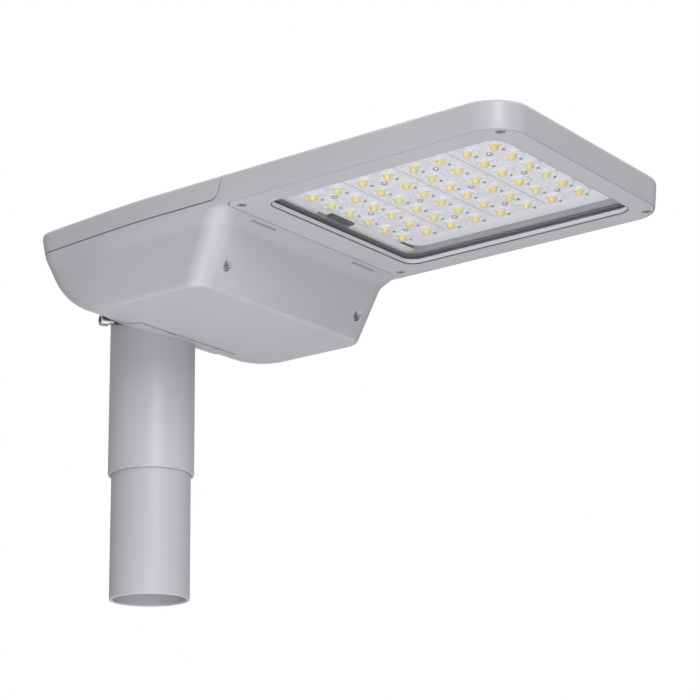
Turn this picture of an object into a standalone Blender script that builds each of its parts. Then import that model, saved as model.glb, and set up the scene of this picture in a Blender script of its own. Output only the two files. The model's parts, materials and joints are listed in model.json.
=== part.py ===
"""Head of a street lamp on the top of its post, with every piece that it is made of.

Metres, +Z up. The post's axis is the Z axis and its cut lower end is at Z = 0. The head
reaches out along +X from the post and is symmetric about Y = 0. Its tilt axis lies along Y.
"""

import math

import bmesh
import bpy
from mathutils import Matrix, Vector

# ---------------------------------------------------------------- driving dimensions
GAP = 0.0003

POLE_RADIUS = 0.038
POLE_WALL = 0.0035
POLE_TOP = 0.280
SLEEVE_RADIUS = 0.04125
SLEEVE_BORE = POLE_RADIUS + 0.0004
SLEEVE_FOOT = 0.120

PIVOT_Z = 0.293
DRUM_RADIUS = 0.037
DRUM_HALF = 0.0672
DRUM_HOLLOW = 0.031

HALF_WIDTH = 0.137
TIP_X = 0.4992
TIP_CORNER = 0.034
REAR_CORNER = 0.023
REAR_NARROWING = 0.0105
TAPER_START = 0.110
BOWL_CORNER_X = 0.1865

BOWL_FLOOR = 0.248
REAR_ARC_RADIUS = 0.090
REAR_ARC_X = 0.050
REAR_ARC_Z = BOWL_FLOOR + REAR_ARC_RADIUS
UNDERSIDE = 0.3116
SEAM_Z = 0.3165
TOP_Z = 0.342

PITCH = 0.0275
LED_X = 0.348
LED_COLUMNS = 8
LED_ROWS = 6
FRAME_REAR_X = 0.2035
FRAME_INSET = 0.0035
FRAME_TOP = 0.3162
WINDOW_REAR_X = 0.2304
WINDOW_TIP_X = 0.476
WINDOW_HALF = 0.1114
WINDOW_CORNER = 0.014
GLASS_EDGE = 0.0062
GLASS_BOTTOM = FRAME_TOP + GAP
GLASS_TOP = GLASS_BOTTOM + 0.004
CAVITY_TOP = 0.3309

NOTCH_HALF = 0.069
NOTCH_FRONT_X = 0.047
LUG_OUTER = 0.0745
PARTITION_REAR_X = 0.068
PARTITION_FRONT_X = 0.0745
FLOOR_INNER = BOWL_FLOOR + 0.0035
HINGE_X = 0.2125
HINGE_Z = 0.3385
HINGE_Y = 0.060
LATCH_Y = 0.0790
LATCH_HALF = 0.0095
LATCH_X = -0.0434
LATCH_Z = 0.3265

ROUND_SEGMENTS = 40
SMALL_SEGMENTS = 12

# ---------------------------------------------------------------- scene and helpers


def empty_scene():
    for obj in list(bpy.data.objects):
        bpy.data.objects.remove(obj, do_unlink=True)


def new_collection(name):
    collection = bpy.data.collections.new(name)
    bpy.context.scene.collection.children.link(collection)
    return collection


empty_scene()
PARTS = new_collection("street_lamp_head")
CUTTERS = new_collection("cutters")


def finish_material(name, colour, roughness, metallic=0.0):
    material = bpy.data.materials.new(name)
    material.use_nodes = True
    shader = material.node_tree.nodes["Principled BSDF"]
    shader.inputs["Base Color"].default_value = (*colour, 1.0)
    shader.inputs["Roughness"].default_value = roughness
    shader.inputs["Metallic"].default_value = metallic
    return material


PAINT = finish_material("painted_aluminium", (0.42, 0.42, 0.44), 0.45)
POLE_PAINT = finish_material("painted_steel", (0.40, 0.40, 0.42), 0.5)
STEEL = finish_material("stainless_steel", (0.60, 0.60, 0.60), 0.25, 1.0)
GLASS = finish_material("toughened_glass", (0.90, 0.93, 0.92), 0.05)
LENS = finish_material("clear_acrylic", (0.92, 0.91, 0.95), 0.08)
BOARD = finish_material("white_board", (0.85, 0.84, 0.88), 0.5)
RUBBER = finish_material("black_silicone", (0.03, 0.03, 0.03), 0.7)
BLACK_PLASTIC = finish_material("black_plastic", (0.02, 0.02, 0.022), 0.45)
WHITE_PLASTIC = finish_material("white_plastic", (0.80, 0.80, 0.78), 0.45)
RED_WIRE = finish_material("red_insulation", (0.55, 0.03, 0.02), 0.5)
BLACK_WIRE = finish_material("black_insulation", (0.02, 0.02, 0.02), 0.5)


def place(name, mesh, material, collection=PARTS):
    obj = bpy.data.objects.new(name, mesh)
    collection.objects.link(obj)
    if material:
        mesh.materials.append(material)
    return obj


def mesh_from(name, bm, smooth=False):
    bmesh.ops.recalc_face_normals(bm, faces=bm.faces)
    mesh = bpy.data.meshes.new(name)
    bm.to_mesh(mesh)
    bm.free()
    if smooth:
        mesh.shade_smooth()
        mesh.set_sharp_from_angle(angle=math.radians(35))
    return mesh


def part(name, bm, material, smooth=False):
    return place(name, mesh_from(name, bm, smooth), material)


def tool(bm):
    cutter = place("cutter", mesh_from("cutter", bm), None, CUTTERS)
    cutter.hide_render = True
    cutter.display_type = "WIRE"
    return cutter


def combine(target, operation, *shapes):
    for shape in shapes:
        modifier = target.modifiers.new(operation.lower(), "BOOLEAN")
        modifier.operation = operation
        modifier.solver = "EXACT"
        modifier.object = tool(shape)
    return target


def cut(target, *shapes):
    return combine(target, "DIFFERENCE", *shapes)


def join(target, *shapes):
    return combine(target, "UNION", *shapes)


def box(low, high):
    bm = bmesh.new()
    bmesh.ops.create_cube(bm, size=1.0)
    size = [b - a for a, b in zip(low, high)]
    middle = [(a + b) / 2 for a, b in zip(low, high)]
    bmesh.ops.scale(bm, vec=size, verts=bm.verts)
    bmesh.ops.translate(bm, vec=middle, verts=bm.verts)
    return bm


def soft_box(low, high, radius, segments=2):
    bm = box(low, high)
    bmesh.ops.bevel(bm, geom=bm.edges[:], offset=radius, segments=segments, profile=0.5,
                    affect="EDGES")
    return bm


def rod(start, end, radius, segments=SMALL_SEGMENTS, end_radius=None):
    """A round bar, or a cone, from one point to another."""
    start = Vector(start)
    along = Vector(end) - start
    bm = bmesh.new()
    bmesh.ops.create_cone(bm, cap_ends=True, segments=segments, radius1=radius,
                          radius2=radius if end_radius is None else end_radius, depth=along.length)
    turn = Vector((0, 0, 1)).rotation_difference(along).to_matrix().to_4x4()
    bmesh.ops.transform(bm, matrix=Matrix.Translation(start + along / 2) @ turn, verts=bm.verts)
    return bm


def arc(centre, radius, start, end, steps):
    """Points on an arc; the angles are in degrees, from the first axis towards the second."""
    points = []
    for i in range(steps + 1):
        angle = math.radians(start + (end - start) * i / steps)
        points.append((centre[0] + radius * math.cos(angle), centre[1] + radius * math.sin(angle)))
    return points


def prism(outline, low, high, axis="Z"):
    """A flat outline drawn out along one axis; across Y it is drawn in X and Z."""
    bm = bmesh.new()
    order = {"Z": lambda a, b: (a, b, low), "Y": lambda a, b: (a, low, b), "X": lambda a, b: (low, a, b)}
    face = bm.faces.new([bm.verts.new(order[axis](a, b)) for a, b in outline])
    out = bmesh.ops.extrude_face_region(bm, geom=[face])
    moved = [v for v in out["geom"] if isinstance(v, bmesh.types.BMVert)]
    depth = high - low
    bmesh.ops.translate(bm, verts=moved, vec=[depth if name == axis else 0 for name in "XYZ"])
    bmesh.ops.recalc_face_normals(bm, faces=bm.faces)
    return bm


def rounded_rectangle(low_x, high_x, half, radius, steps=4):
    points = arc((high_x - radius, half - radius), radius, 0, 90, steps)
    points += arc((low_x + radius, half - radius), radius, 90, 180, steps)
    points += arc((low_x + radius, radius - half), radius, 180, 270, steps)
    points += arc((high_x - radius, radius - half), radius, 270, 360, steps)
    return points


def ring_plate(outer, inner, low, high):
    """A flat plate with one window, from two outlines."""
    bm = prism(outer, low, high)
    window = prism(inner, low - 0.01, high + 0.01)
    return bm, window


def turned(name, profile, material, axis_matrix, segments=SMALL_SEGMENTS):
    """A profile of (radius, height) from its top to its bottom, turned about the local Z axis."""
    mesh = bpy.data.meshes.new(name)
    bm = bmesh.new()
    closed = profile[0] == profile[-1]
    verts = [bm.verts.new((radius, 0, height)) for radius, height in profile[closed:]]
    for a, b in zip(verts, verts[1:] + verts[:closed]):
        bm.edges.new((a, b))
    bm.to_mesh(mesh)
    bm.free()
    obj = place(name, mesh, material)
    screw = obj.modifiers.new("turn", "SCREW")
    screw.steps = segments
    screw.render_steps = segments
    screw.use_merge_vertices = True
    screw.merge_threshold = 0.00001
    obj.matrix_world = axis_matrix
    return obj


def pointing(origin, direction):
    """A frame whose Z axis points along a direction."""
    turn = Vector((0, 0, 1)).rotation_difference(Vector(direction)).to_matrix().to_4x4()
    return Matrix.Translation(Vector(origin)) @ turn


def wire(name, points, radius, material, steps=4):
    curve = bpy.data.curves.new(name, "CURVE")
    curve.dimensions = "3D"
    curve.bevel_depth = radius
    curve.bevel_resolution = 1
    curve.use_fill_caps = True
    curve.render_resolution_u = 0
    spline = curve.splines.new("POLY")
    smooth = through(points, steps)
    spline.points.add(len(smooth) - 1)
    for point, place_at in zip(spline.points, smooth):
        point.co = (*place_at, 1.0)
    curve.materials.append(material)
    obj = bpy.data.objects.new(name, curve)
    PARTS.objects.link(obj)
    return obj


def through(points, steps):
    """A smooth run through points (Catmull-Rom)."""
    knots = [Vector(p) for p in points]
    knots = [knots[0] * 2 - knots[1]] + knots + [knots[-1] * 2 - knots[-2]]
    run = []
    for a, b, c, d in zip(knots, knots[1:], knots[2:], knots[3:]):
        for i in range(steps):
            t = i / steps
            run.append(0.5 * (2 * b + (c - a) * t + (2 * a - 5 * b + 4 * c - d) * t * t
                              + (3 * b - a - 3 * c + d) * t ** 3))
    run.append(knots[-2])
    return run


# ---------------------------------------------------------------- outline of the head


def half_width(x):
    """Half of the head's widest width at X; it narrows towards the post."""
    if x >= TAPER_START:
        return HALF_WIDTH
    share = (TAPER_START - x) / (TAPER_START + 0.025)
    return HALF_WIDTH - REAR_NARROWING * share ** 1.25


def rear_end(z):
    """X of the rear end at height Z, on the arc that the bowl's floor runs up into."""
    drop = max(REAR_ARC_Z - z, 0.0)
    return REAR_ARC_X - math.sqrt(max(REAR_ARC_RADIUS ** 2 - drop ** 2, 0.0))


def rear_ring(z, inset, split=BOWL_CORNER_X, widest=HALF_WIDTH):
    """The part of a level outline behind the split, from -Y round the rear to +Y."""
    radius = max(REAR_CORNER - inset * 0.5, 0.006)
    centre_x = rear_end(z) + inset * 0.5 + radius
    if inset > 0.024:
        centre_x = rear_end(z) + inset + radius
    side = []
    for share in (0.0, 0.2, 0.4, 0.6, 0.8):
        x = split + (centre_x - split) * share
        side.append((x, min(half_width(x) - inset, widest)))
    centre = (centre_x, min(half_width(centre_x) - inset, widest) - radius)
    side += arc(centre, radius, 90, 180, 6)
    points = [(x, -y, z) for x, y in side]
    points += [(x, y, z) for x, y in reversed(side)]
    return points


def front_ring(z, tip_x, half, radius, first=0):
    """The part of a level outline ahead of the split, from +Y round the tip to -Y."""
    points = [(x, y, z) for x, y in reversed(arc((tip_x - radius, half - radius), radius, 0, 90, 8))]
    points = points[first:]
    return points + [(x, -y, z) for x, y, z in reversed(points)]


def skin(bm, upper, lower):
    """Side faces between two closed loops of vertices; shared vertices make triangles."""
    count = len(upper)
    for i in range(count):
        j = (i + 1) % count
        corners = [upper[i], upper[j], lower[j], lower[i]]
        corners = [v for k, v in enumerate(corners) if v not in corners[:k]]
        if len(corners) > 2:
            bm.faces.new(corners)


# (height, inset) of the level rings from the crowned top down to the underside
TOP_RINGS = ((TOP_Z, 0.062), (0.3410, 0.026), (0.3396, 0.008), (0.3383, 0.0034),
             (0.3362, 0.0008), (0.3330, 0.0), (0.3150, 0.0017), (UNDERSIDE, 0.0024))

# (height, inset, front X, front corner radius) of the bowl's rings: a sloping neck down to a
# crease, a steep wall, and a rounded edge to the floor
BOWL_RINGS = ((UNDERSIDE, 0.0024, 0.2030, 0.0165), (0.3012, 0.0084, 0.1938, 0.0215),
              (0.2984, 0.0092, 0.1922, 0.0218), (0.2535, 0.0132, 0.1683, 0.0190),
              (0.2500, 0.0142, 0.1664, 0.0180), (0.2485, 0.0160, 0.1645, 0.0170),
              (BOWL_FLOOR, 0.0178, 0.1625, 0.0160))


def bowl_rings():
    """The bowl's rings, with more of them on the steep wall, where the rear end is an arc."""
    crease, foot = BOWL_RINGS[2:4]
    wall = []
    for share in (0.18, 0.36, 0.53, 0.69, 0.85):
        wall.append(tuple(a + (b - a) * share for a, b in zip(crease, foot)))
    return BOWL_RINGS[:3] + tuple(wall) + BOWL_RINGS[3:]


def rear_inset(inset):
    """The bowl's wall stays straight while the head narrows, so its inset shrinks at the rear."""
    return 0.0024 + (inset - 0.0024) * 0.4


def top_ring(z, inset):
    half = HALF_WIDTH - inset
    radius = max(TIP_CORNER - inset, 0.008)
    return rear_ring(z, inset) + front_ring(z, TIP_X - inset, half, radius)


def slab_shape(lowest):
    """The flat upper body of the head, closed at its underside."""
    bm = bmesh.new()
    rings = [[bm.verts.new(p) for p in top_ring(z, inset)] for z, inset in TOP_RINGS if z >= lowest]
    bm.faces.new(rings[0])
    for upper, lower in zip(rings, rings[1:]):
        skin(bm, upper, lower)
    return bm, rings[-1]


def head_shape():
    """The whole outside of the head: the flat body with the bowl under its rear."""
    bm, rim = slab_shape(0)
    rear_count = len(rear_ring(UNDERSIDE, 0.0))
    loops = []
    for z, inset, front_x, radius in bowl_rings():
        half = HALF_WIDTH - inset
        front = front_ring(z, front_x, half, radius, 1)
        if loops:
            outline = rear_ring(z, rear_inset(inset), front_x - radius, half)
            rear = [bm.verts.new(p) for p in outline]
        else:
            rear = rim[:rear_count]
        loops.append(rear + [bm.verts.new(p) for p in front])
    bm.faces.new(rim[rear_count - 1:] + [rim[0]] + list(reversed(loops[0][rear_count:])))
    for upper, lower in zip(loops, loops[1:]):
        skin(bm, upper, lower)
    bm.faces.new(loops[-1])
    return bm


# ---------------------------------------------------------------- post and adapter


def make_pole():
    pole = part("pole_section", rod((0, 0, 0), (0, 0, POLE_TOP), POLE_RADIUS, ROUND_SEGMENTS),
                POLE_PAINT, smooth=True)
    cut(pole, rod((0, 0, -0.01), (0, 0, POLE_TOP + 0.01), POLE_RADIUS - POLE_WALL, ROUND_SEGMENTS))


def knuckle_profile():
    """Side view of the adapter's knuckle: a drum, its arched floor and its rising apron."""
    corner = (NOTCH_FRONT_X - 0.0008, BOWL_FLOOR + 0.0001)
    apron = math.hypot(corner[0], PIVOT_Z - FLOOR_INNER - 0.0010)
    rise = -math.degrees(math.asin((PIVOT_Z - FLOOR_INNER - 0.0010) / apron))
    floor = arc((REAR_ARC_X, REAR_ARC_Z), REAR_ARC_RADIUS - 0.0001, 200.4, 265, 12)
    outer = arc((0, PIVOT_Z), apron, rise, -22.0, 4)
    inner = arc((0, PIVOT_Z), apron - 0.003, -22.0, rise + 3.0, 3)
    drum = arc((0, PIVOT_Z), DRUM_RADIUS, -40.0, 155.0, 18)
    return floor + [corner] + outer + inner + [(0.034, 0.2560)] + drum


def make_adapter():
    adapter = part("spigot_adapter", prism(knuckle_profile(), -DRUM_HALF, DRUM_HALF, "Y"), PAINT)
    sleeve = rod((0, 0, SLEEVE_FOOT), (0, 0, PIVOT_Z - 0.008), SLEEVE_RADIUS, ROUND_SEGMENTS)
    join(adapter, sleeve)
    bore = rod((0, 0, SLEEVE_FOOT - 0.01), (0, 0, POLE_TOP + 0.001), SLEEVE_BORE, ROUND_SEGMENTS)
    hollow = rod((0, -0.060, PIVOT_Z), (0, 0.060, PIVOT_Z), DRUM_HOLLOW, 24)
    wire_way = box((0.020, -0.016, 0.288), (0.045, 0.016, 0.308))
    cut(adapter, bore, hollow, wire_way)
    for side in (-1, 1):
        cut(adapter, rod((0, side * 0.05, PIVOT_Z), (0, side * 0.08, PIVOT_Z), 0.0053))
        cut(adapter, rod(clamp_point(side, 0.030), clamp_point(side, 0.060), 0.0043))
    mark = box((0.034, 0.0435, 0.240), (0.0475, 0.0447, BOWL_FLOOR + 0.0030))
    cut(adapter, mark)


CLAMP_ANGLE = 117.0
CLAMP_Z = 0.270


def clamp_point(side, radius):
    angle = math.radians(side * CLAMP_ANGLE)
    return (radius * math.cos(angle), radius * math.sin(angle), CLAMP_Z)


def make_clamp_screws():
    """Two hexagon-socket screws that press on the post from behind."""
    for side, name in ((-1, "clamp_screw_right"), (1, "clamp_screw_left")):
        start = clamp_point(side, POLE_RADIUS + GAP)
        direction = Vector(clamp_point(side, 1.0)) - Vector(clamp_point(side, 0.0))
        shank, head, length = 0.0039, 0.0060, 0.0165
        neck, socket = 0.0085, 0.0032
        profile = ((0.0, length - 0.004), (socket, length - 0.004), (socket, length),
                   (head - 0.0012, length), (head, length - 0.0012), (head, neck), (shank, neck),
                   (shank, 0.0), (0.0, 0.0))
        turned(name, profile, STEEL, pointing(start, direction))


def make_tilt_bolts():
    for side, name in ((-1, "right"), (1, "left")):
        seat = side * (LUG_OUTER + 0.0018)
        direction = (0, side, 0)
        head, shank, reach = 0.0085, 0.0050, 0.0195
        profile = ((0.0, 0.004), (0.0045, 0.004), (0.0045, 0.0065), (head - 0.001, 0.0065),
                   (head, 0.0055), (head, 0.0), (shank, 0.0), (shank, -reach), (0.0, -reach))
        turned("tilt_bolt_" + name, profile, STEEL, pointing((0, seat, PIVOT_Z), direction))
        washer = rod((0, side * (LUG_OUTER + GAP), PIVOT_Z), (0, seat - side * GAP, PIVOT_Z), 0.0108)
        obj = part("tilt_washer_" + name, washer, STEEL)
        cut(obj, rod((0, side * 0.07, PIVOT_Z), (0, side * 0.08, PIVOT_Z), 0.0053))
        ring = rod((0, side * (DRUM_HALF + GAP), PIVOT_Z), (0, side * (NOTCH_HALF - GAP), PIVOT_Z),
                   0.024, 24)
        obj = part("tilt_ring_" + name, ring, STEEL)
        cut(obj, rod((0, side * 0.06, PIVOT_Z), (0, side * 0.08, PIVOT_Z), 0.0053))


# ---------------------------------------------------------------- housing


def cover_zone(shift):
    """Side view of the space above the seam, moved in from the seam by shift."""
    rise = arc((0.1880, SEAM_Z + 0.0125), 0.0125 - shift, -90, -14, 4)
    lean = 2 * shift
    outline = [(-0.08, SEAM_Z + shift), (0.12, SEAM_Z + shift)] + rise
    outline += [(0.2030 - shift, 0.3335), (0.2068 - shift, 0.3395), (0.2068 - shift - lean, TOP_Z),
                (0.2068 - shift - lean, 0.38), (-0.08, 0.38)]
    return prism(outline, -0.20, 0.20, "Y")


def compartment(rear_x, grow, low, high):
    """The room in the bowl for the control gear; grow widens it."""
    levels = ((low, 0.1130, 0.1550, 0.010), (low + 0.003, 0.1180, 0.1600, 0.014),
              (low + 0.009, 0.1205, 0.1645, 0.016), (0.2998, 0.1245, 0.1765, 0.018),
              (high, 0.1265, 0.1795, 0.018))
    bm = bmesh.new()
    loops = []
    for z, half, front_x, radius in levels:
        outline = rounded_rectangle(rear_x - grow, front_x + grow, half + grow, radius)
        loops.append([bm.verts.new((x, y, z)) for x, y in outline])
    for upper, lower in zip(loops, loops[1:]):
        skin(bm, upper, lower)
    bm.faces.new(loops[0])
    bm.faces.new(loops[-1])
    return bm


def side_pocket(side):
    """Access to a tilt bolt, between the lug and the outer wall."""
    outline = [(-0.020, LUG_OUTER), (0.0630, LUG_OUTER), (0.0630, 0.118), (0.030, 0.1165),
               (-0.010, 0.109), (-0.020, 0.100)]
    low = [(x, side * y) for x, y in outline]
    bm = bmesh.new()
    loops = []
    for z in (0.0, 1.0):
        height = 0.40 if z else 0.2965
        loops.append([bm.verts.new((x, y, height)) for x, y in low])
    deep = [bm.verts.new((max(x, 0.010), y - side * (0.006 if abs(y) > 0.09 else 0), 0.262)) for x, y in low]
    loops.insert(0, deep)
    for upper, lower in zip(loops, loops[1:]):
        skin(bm, upper, lower)
    bm.faces.new(loops[0])
    bm.faces.new(loops[-1])
    return bm


def window_outline(grow):
    return rounded_rectangle(WINDOW_REAR_X - grow, WINDOW_TIP_X + grow, WINDOW_HALF + grow,
                             WINDOW_CORNER + grow * 0.4)


def frame_outline(inset):
    half = HALF_WIDTH - inset
    tip = TIP_X - inset
    corner = TIP_CORNER - inset
    rear = FRAME_REAR_X + inset - FRAME_INSET
    points = arc((tip - corner, half - corner), corner, 0, 90, 8)
    points += arc((rear + 0.010, half - 0.010), 0.010, 90, 180, 4)
    points += arc((rear + 0.010, 0.010 - half), 0.010, 180, 270, 4)
    points += arc((tip - corner, corner - half), corner, 270, 360, 8)
    return points


FIN_COUNT = 12
FIN_PITCH = 0.0165
GROOVE_WIDTH = 0.0115
GROOVE_FLOOR = 0.3352
SCREW_X = (0.2126, 0.4832)
SCREW_Y = 0.1202
WALL_SCREW_Y = 0.097
WALL_SCREW_Z = 0.2695
WALL_SCREW_SEAT = 0.1718
LEAD_Y = -0.004
LEAD_SPREAD = 0.0045
LEAD_RADIUS = 0.0011
DUCT = ((0.2310, 0.3290), (0.2017, 0.3196), (0.1950, 0.3150), (0.1690, 0.3100))


def duct_piece(start, end, y):
    """One straight length of the narrow way for a board lead, in X and Z."""
    along = (Vector(end) - Vector(start)).normalized() * 0.0008
    low, high = Vector(start) - along, Vector(end) + along
    return rod((low.x, y, low.y), (high.x, y, high.y), 2 * LEAD_RADIUS, 10)


def make_housing():
    housing = part("main_housing", head_shape(), PAINT)
    cut(housing, cover_zone(0.0))
    cut(housing, compartment(PARTITION_FRONT_X, 0.0, FLOOR_INNER, 0.40))
    cut(housing, box((-0.08, -NOTCH_HALF, 0.20), (NOTCH_FRONT_X, NOTCH_HALF, 0.40)))
    cut(housing, box((0.0, -NOTCH_HALF, FLOOR_INNER), (PARTITION_REAR_X, NOTCH_HALF, 0.40)))
    cut(housing, prism(frame_outline(FRAME_INSET - GAP), 0.30, FRAME_TOP + GAP))
    cut(housing, prism(window_outline(GLASS_EDGE + GAP), 0.30, 0.3236))
    cut(housing, prism(window_outline(0.0015), 0.30, CAVITY_TOP))
    for i in range(FIN_COUNT):
        y = (i - (FIN_COUNT - 1) / 2) * FIN_PITCH
        ends = rounded_groove(0.240, 0.462, y, GROOVE_WIDTH / 2)
        cut(housing, prism(ends, GROOVE_FLOOR, 0.36))
    for side in (-1, 1):
        cut(housing, side_pocket(side))
        cut(housing, rod((0, side * 0.065, PIVOT_Z), (0, side * 0.080, PIVOT_Z), 0.0053))
        cut(housing, box((0.200, side * HINGE_Y - 0.0095, 0.3330), (0.2172, side * HINGE_Y + 0.0095, 0.36)))
        cut(housing, rod((HINGE_X, side * HINGE_Y - 0.0135, HINGE_Z),
                         (HINGE_X, side * HINGE_Y + 0.0135, HINGE_Z), 0.0019, 12))
        cut(housing, rod((0.150, side * WALL_SCREW_Y, WALL_SCREW_Z), (0.19, side * WALL_SCREW_Y, WALL_SCREW_Z),
                         0.0023, 12))
        cut(housing, rod((WALL_SCREW_SEAT, side * WALL_SCREW_Y, WALL_SCREW_Z),
                         (0.19, side * WALL_SCREW_Y, WALL_SCREW_Z), 0.0052, 16))
        join(housing, box((-0.0390, side * LATCH_Y - 0.009, 0.3085), (-0.0300, side * LATCH_Y + 0.009, 0.3125)))
        rib_low, rib_high = sorted((side * 0.058, side * 0.092))
        join(housing, box((0.1994, rib_low, 0.3068), (0.2008, rib_high, 0.3110)))
        for x in SCREW_X:
            cut(housing, rod((x, side * SCREW_Y, 0.310), (x, side * SCREW_Y, 0.3300), 0.0023, 12))
    for lead in (-1, 1):
        for start, end in zip(DUCT, DUCT[1:]):
            cut(housing, duct_piece(start, end, LEAD_Y + lead * LEAD_SPREAD))
    cut(housing, rod((0.060, 0.0, 0.303), (0.080, 0.0, 0.303), 0.0083, 16))
    cut(housing, rod((0.060, -0.045, 0.300), (0.080, -0.045, 0.300), 0.0053, 12))


def rounded_groove(low_x, high_x, y, half):
    points = arc((high_x - half, y), half, -90, 90, 4)
    return points + arc((low_x + half, y), half, 90, 270, 4)


# ---------------------------------------------------------------- cover, hinge and latches


def make_cover():
    bm, _ = slab_shape(0.3150)
    cover = part("top_cover", bm, PAINT)
    combine(cover, "INTERSECT", cover_zone(0.0006))
    inside = bmesh.new()
    loops = []
    for z, inset in ((0.3385, 0.016), (0.3360, 0.0060), (0.3330, 0.0034), (0.300, 0.0042)):
        outline = [(min(x, 0.1985), y) for x, y, _ in rear_ring(z, inset)]
        front = [(0.1985, HALF_WIDTH - inset), (0.1985, inset - HALF_WIDTH)]
        loops.append([inside.verts.new((x, y, z)) for x, y in outline + front])
    for upper, lower in zip(loops, loops[1:]):
        skin(inside, upper, lower)
    inside.faces.new(loops[0])
    inside.faces.new(loops[-1])
    cut(cover, inside)
    for side in (-1, 1):
        low, high = side * HINGE_Y - 0.009, side * HINGE_Y + 0.009
        join(cover, box((0.1940, low, 0.3366), (HINGE_X, high, 0.3404)))
        join(cover, rod((HINGE_X, low, HINGE_Z), (HINGE_X, high, HINGE_Z), 0.0034, 16))
        cut(cover, rod((HINGE_X, low - 0.01, HINGE_Z), (HINGE_X, high + 0.01, HINGE_Z), 0.0019, 12))
        for edge in (-1, 1):
            y = side * LATCH_Y + edge * (LATCH_HALF + 0.0018)
            join(cover, box((LATCH_X - 0.0028, y - 0.0014, 0.3235), (-0.0360, y + 0.0014, 0.3295)))
        cut(cover, rod((LATCH_X, side * LATCH_Y - 0.02, LATCH_Z), (LATCH_X, side * LATCH_Y + 0.02, LATCH_Z),
                       0.0015, 12))


def make_hinge_pins():
    for side, name in ((-1, "hinge_pin_right"), (1, "hinge_pin_left")):
        y = side * HINGE_Y
        part(name, rod((HINGE_X, y - 0.0130, HINGE_Z), (HINGE_X, y + 0.0130, HINGE_Z), 0.0016, 12), STEEL)


def make_latches():
    """Two spring-steel latches on the cover's rear edge, which hook under the housing's ledges."""
    for side, name in ((-1, "right"), (1, "left")):
        y = side * LATCH_Y
        plate = [(-0.0453, 0.3286), (-0.0416, 0.3286), (-0.0416, 0.3092), (-0.0400, 0.3080),
                 (-0.0372, 0.3080), (-0.0372, 0.3064), (-0.0424, 0.3064), (-0.0437, 0.3078),
                 (-0.0437, 0.3245), (-0.0453, 0.3250)]
        latch = part("latch_" + name, prism(plate, y - LATCH_HALF, y + LATCH_HALF, "Y"), STEEL)
        cut(latch, rod((LATCH_X, y - 0.02, LATCH_Z), (LATCH_X, y + 0.02, LATCH_Z), 0.0015, 12))
        part("latch_pin_" + name,
             rod((LATCH_X, y - 0.0140, LATCH_Z), (LATCH_X, y + 0.0140, LATCH_Z), 0.0012, 10), STEEL)


def make_cover_gasket():
    low, high = SEAM_Z + GAP, SEAM_Z + 0.0030
    outer = rounded_rectangle(0.0695, 0.1855, 0.1315, 0.020)
    inner = rounded_rectangle(0.0735, 0.1815, 0.1275, 0.017)
    plate, window = ring_plate(outer, inner, low, high)
    cut(part("cover_gasket", plate, RUBBER), window)


# ---------------------------------------------------------------- light unit


def make_frame():
    frame = part("glass_frame", prism(frame_outline(FRAME_INSET), UNDERSIDE, FRAME_TOP), PAINT)
    window = bmesh.new()
    loops = []
    for z, grow in ((UNDERSIDE - 0.01, 0.0), (UNDERSIDE + 0.0015, 0.0), (FRAME_TOP + 0.01, -0.0012)):
        loops.append([window.verts.new((x, y, z)) for x, y in window_outline(grow)])
    for upper, lower in zip(loops, loops[1:]):
        skin(window, upper, lower)
    window.faces.new(loops[0])
    window.faces.new(loops[-1])
    cut(frame, window)
    for side in (-1, 1):
        for x in SCREW_X:
            cut(frame, rod((x, side * SCREW_Y, 0.30), (x, side * SCREW_Y, 0.33), 0.0023, 12))
            cut(frame, rod((x, side * SCREW_Y, 0.30), (x, side * SCREW_Y, UNDERSIDE + 0.0024), 0.0043, 16))


def make_glass():
    part("cover_glass", prism(window_outline(GLASS_EDGE), GLASS_BOTTOM, GLASS_TOP), GLASS)
    plate, window = ring_plate(window_outline(GLASS_EDGE - 0.0004), window_outline(0.0020),
                               GLASS_TOP + GAP, 0.3233)
    cut(part("glass_gasket", plate, RUBBER), window)


def cap_screw(name, seat, direction, head, shank, length, height):
    """A domed screw with a socket; its head bears at the seat and its shank goes the other way."""
    socket = head * 0.5
    profile = ((0.0, height * 0.35), (socket, height * 0.35), (socket, height), (head * 0.75, height),
               (head, height * 0.55), (head, 0.0), (shank, 0.0), (shank, -length), (0.0, -length))
    turned(name, profile, STEEL, pointing(seat, direction), 12)


def make_frame_screws():
    number = 1
    for x in SCREW_X:
        for side in (-1, 1):
            seat = (x, side * SCREW_Y, UNDERSIDE + 0.0024 - GAP)
            cap_screw(f"frame_screw_{number}", seat, (0, 0, -1), 0.0038, 0.0020, 0.0140, 0.0018)
            number += 1


BOARD_LOW = 0.3290
BOARD_HIGH = 0.3306
LENS_LOW = 0.3262
LENS_HIGH = 0.3278
LENS_HEIGHT = 0.0046


def led_places(columns=range(LED_COLUMNS)):
    for column in columns:
        for row in range(LED_ROWS):
            yield (LED_X + (column - (LED_COLUMNS - 1) / 2) * PITCH, (row - (LED_ROWS - 1) / 2) * PITCH)


def make_board():
    outline = rounded_rectangle(0.2384, 0.4765, 0.1120, WINDOW_CORNER)
    board = part("led_board", prism(outline, BOARD_LOW, BOARD_HIGH), BOARD)
    for x, y in led_places():
        join(board, box((x - 0.0018, y - 0.0018, BOARD_LOW - 0.0006), (x + 0.0018, y + 0.0018, BOARD_LOW + 0.0005)))


def dome(x, y, low, high, radius):
    """A lens dome that hangs from the plate: a cone stack with a rounded end."""
    bm = bmesh.new()
    loops = []
    for share, level in ((1.0, high), (0.90, high - (high - low) * 0.55), (0.42, low)):
        ring = arc((x, y), radius * share, 0, 315, 7)
        loops.append([bm.verts.new((*point, level)) for point in ring])
    for upper, lower in zip(loops, loops[1:]):
        skin(bm, upper, lower)
    bm.faces.new(loops[0])
    bm.faces.new(loops[-1])
    return bm


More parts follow.
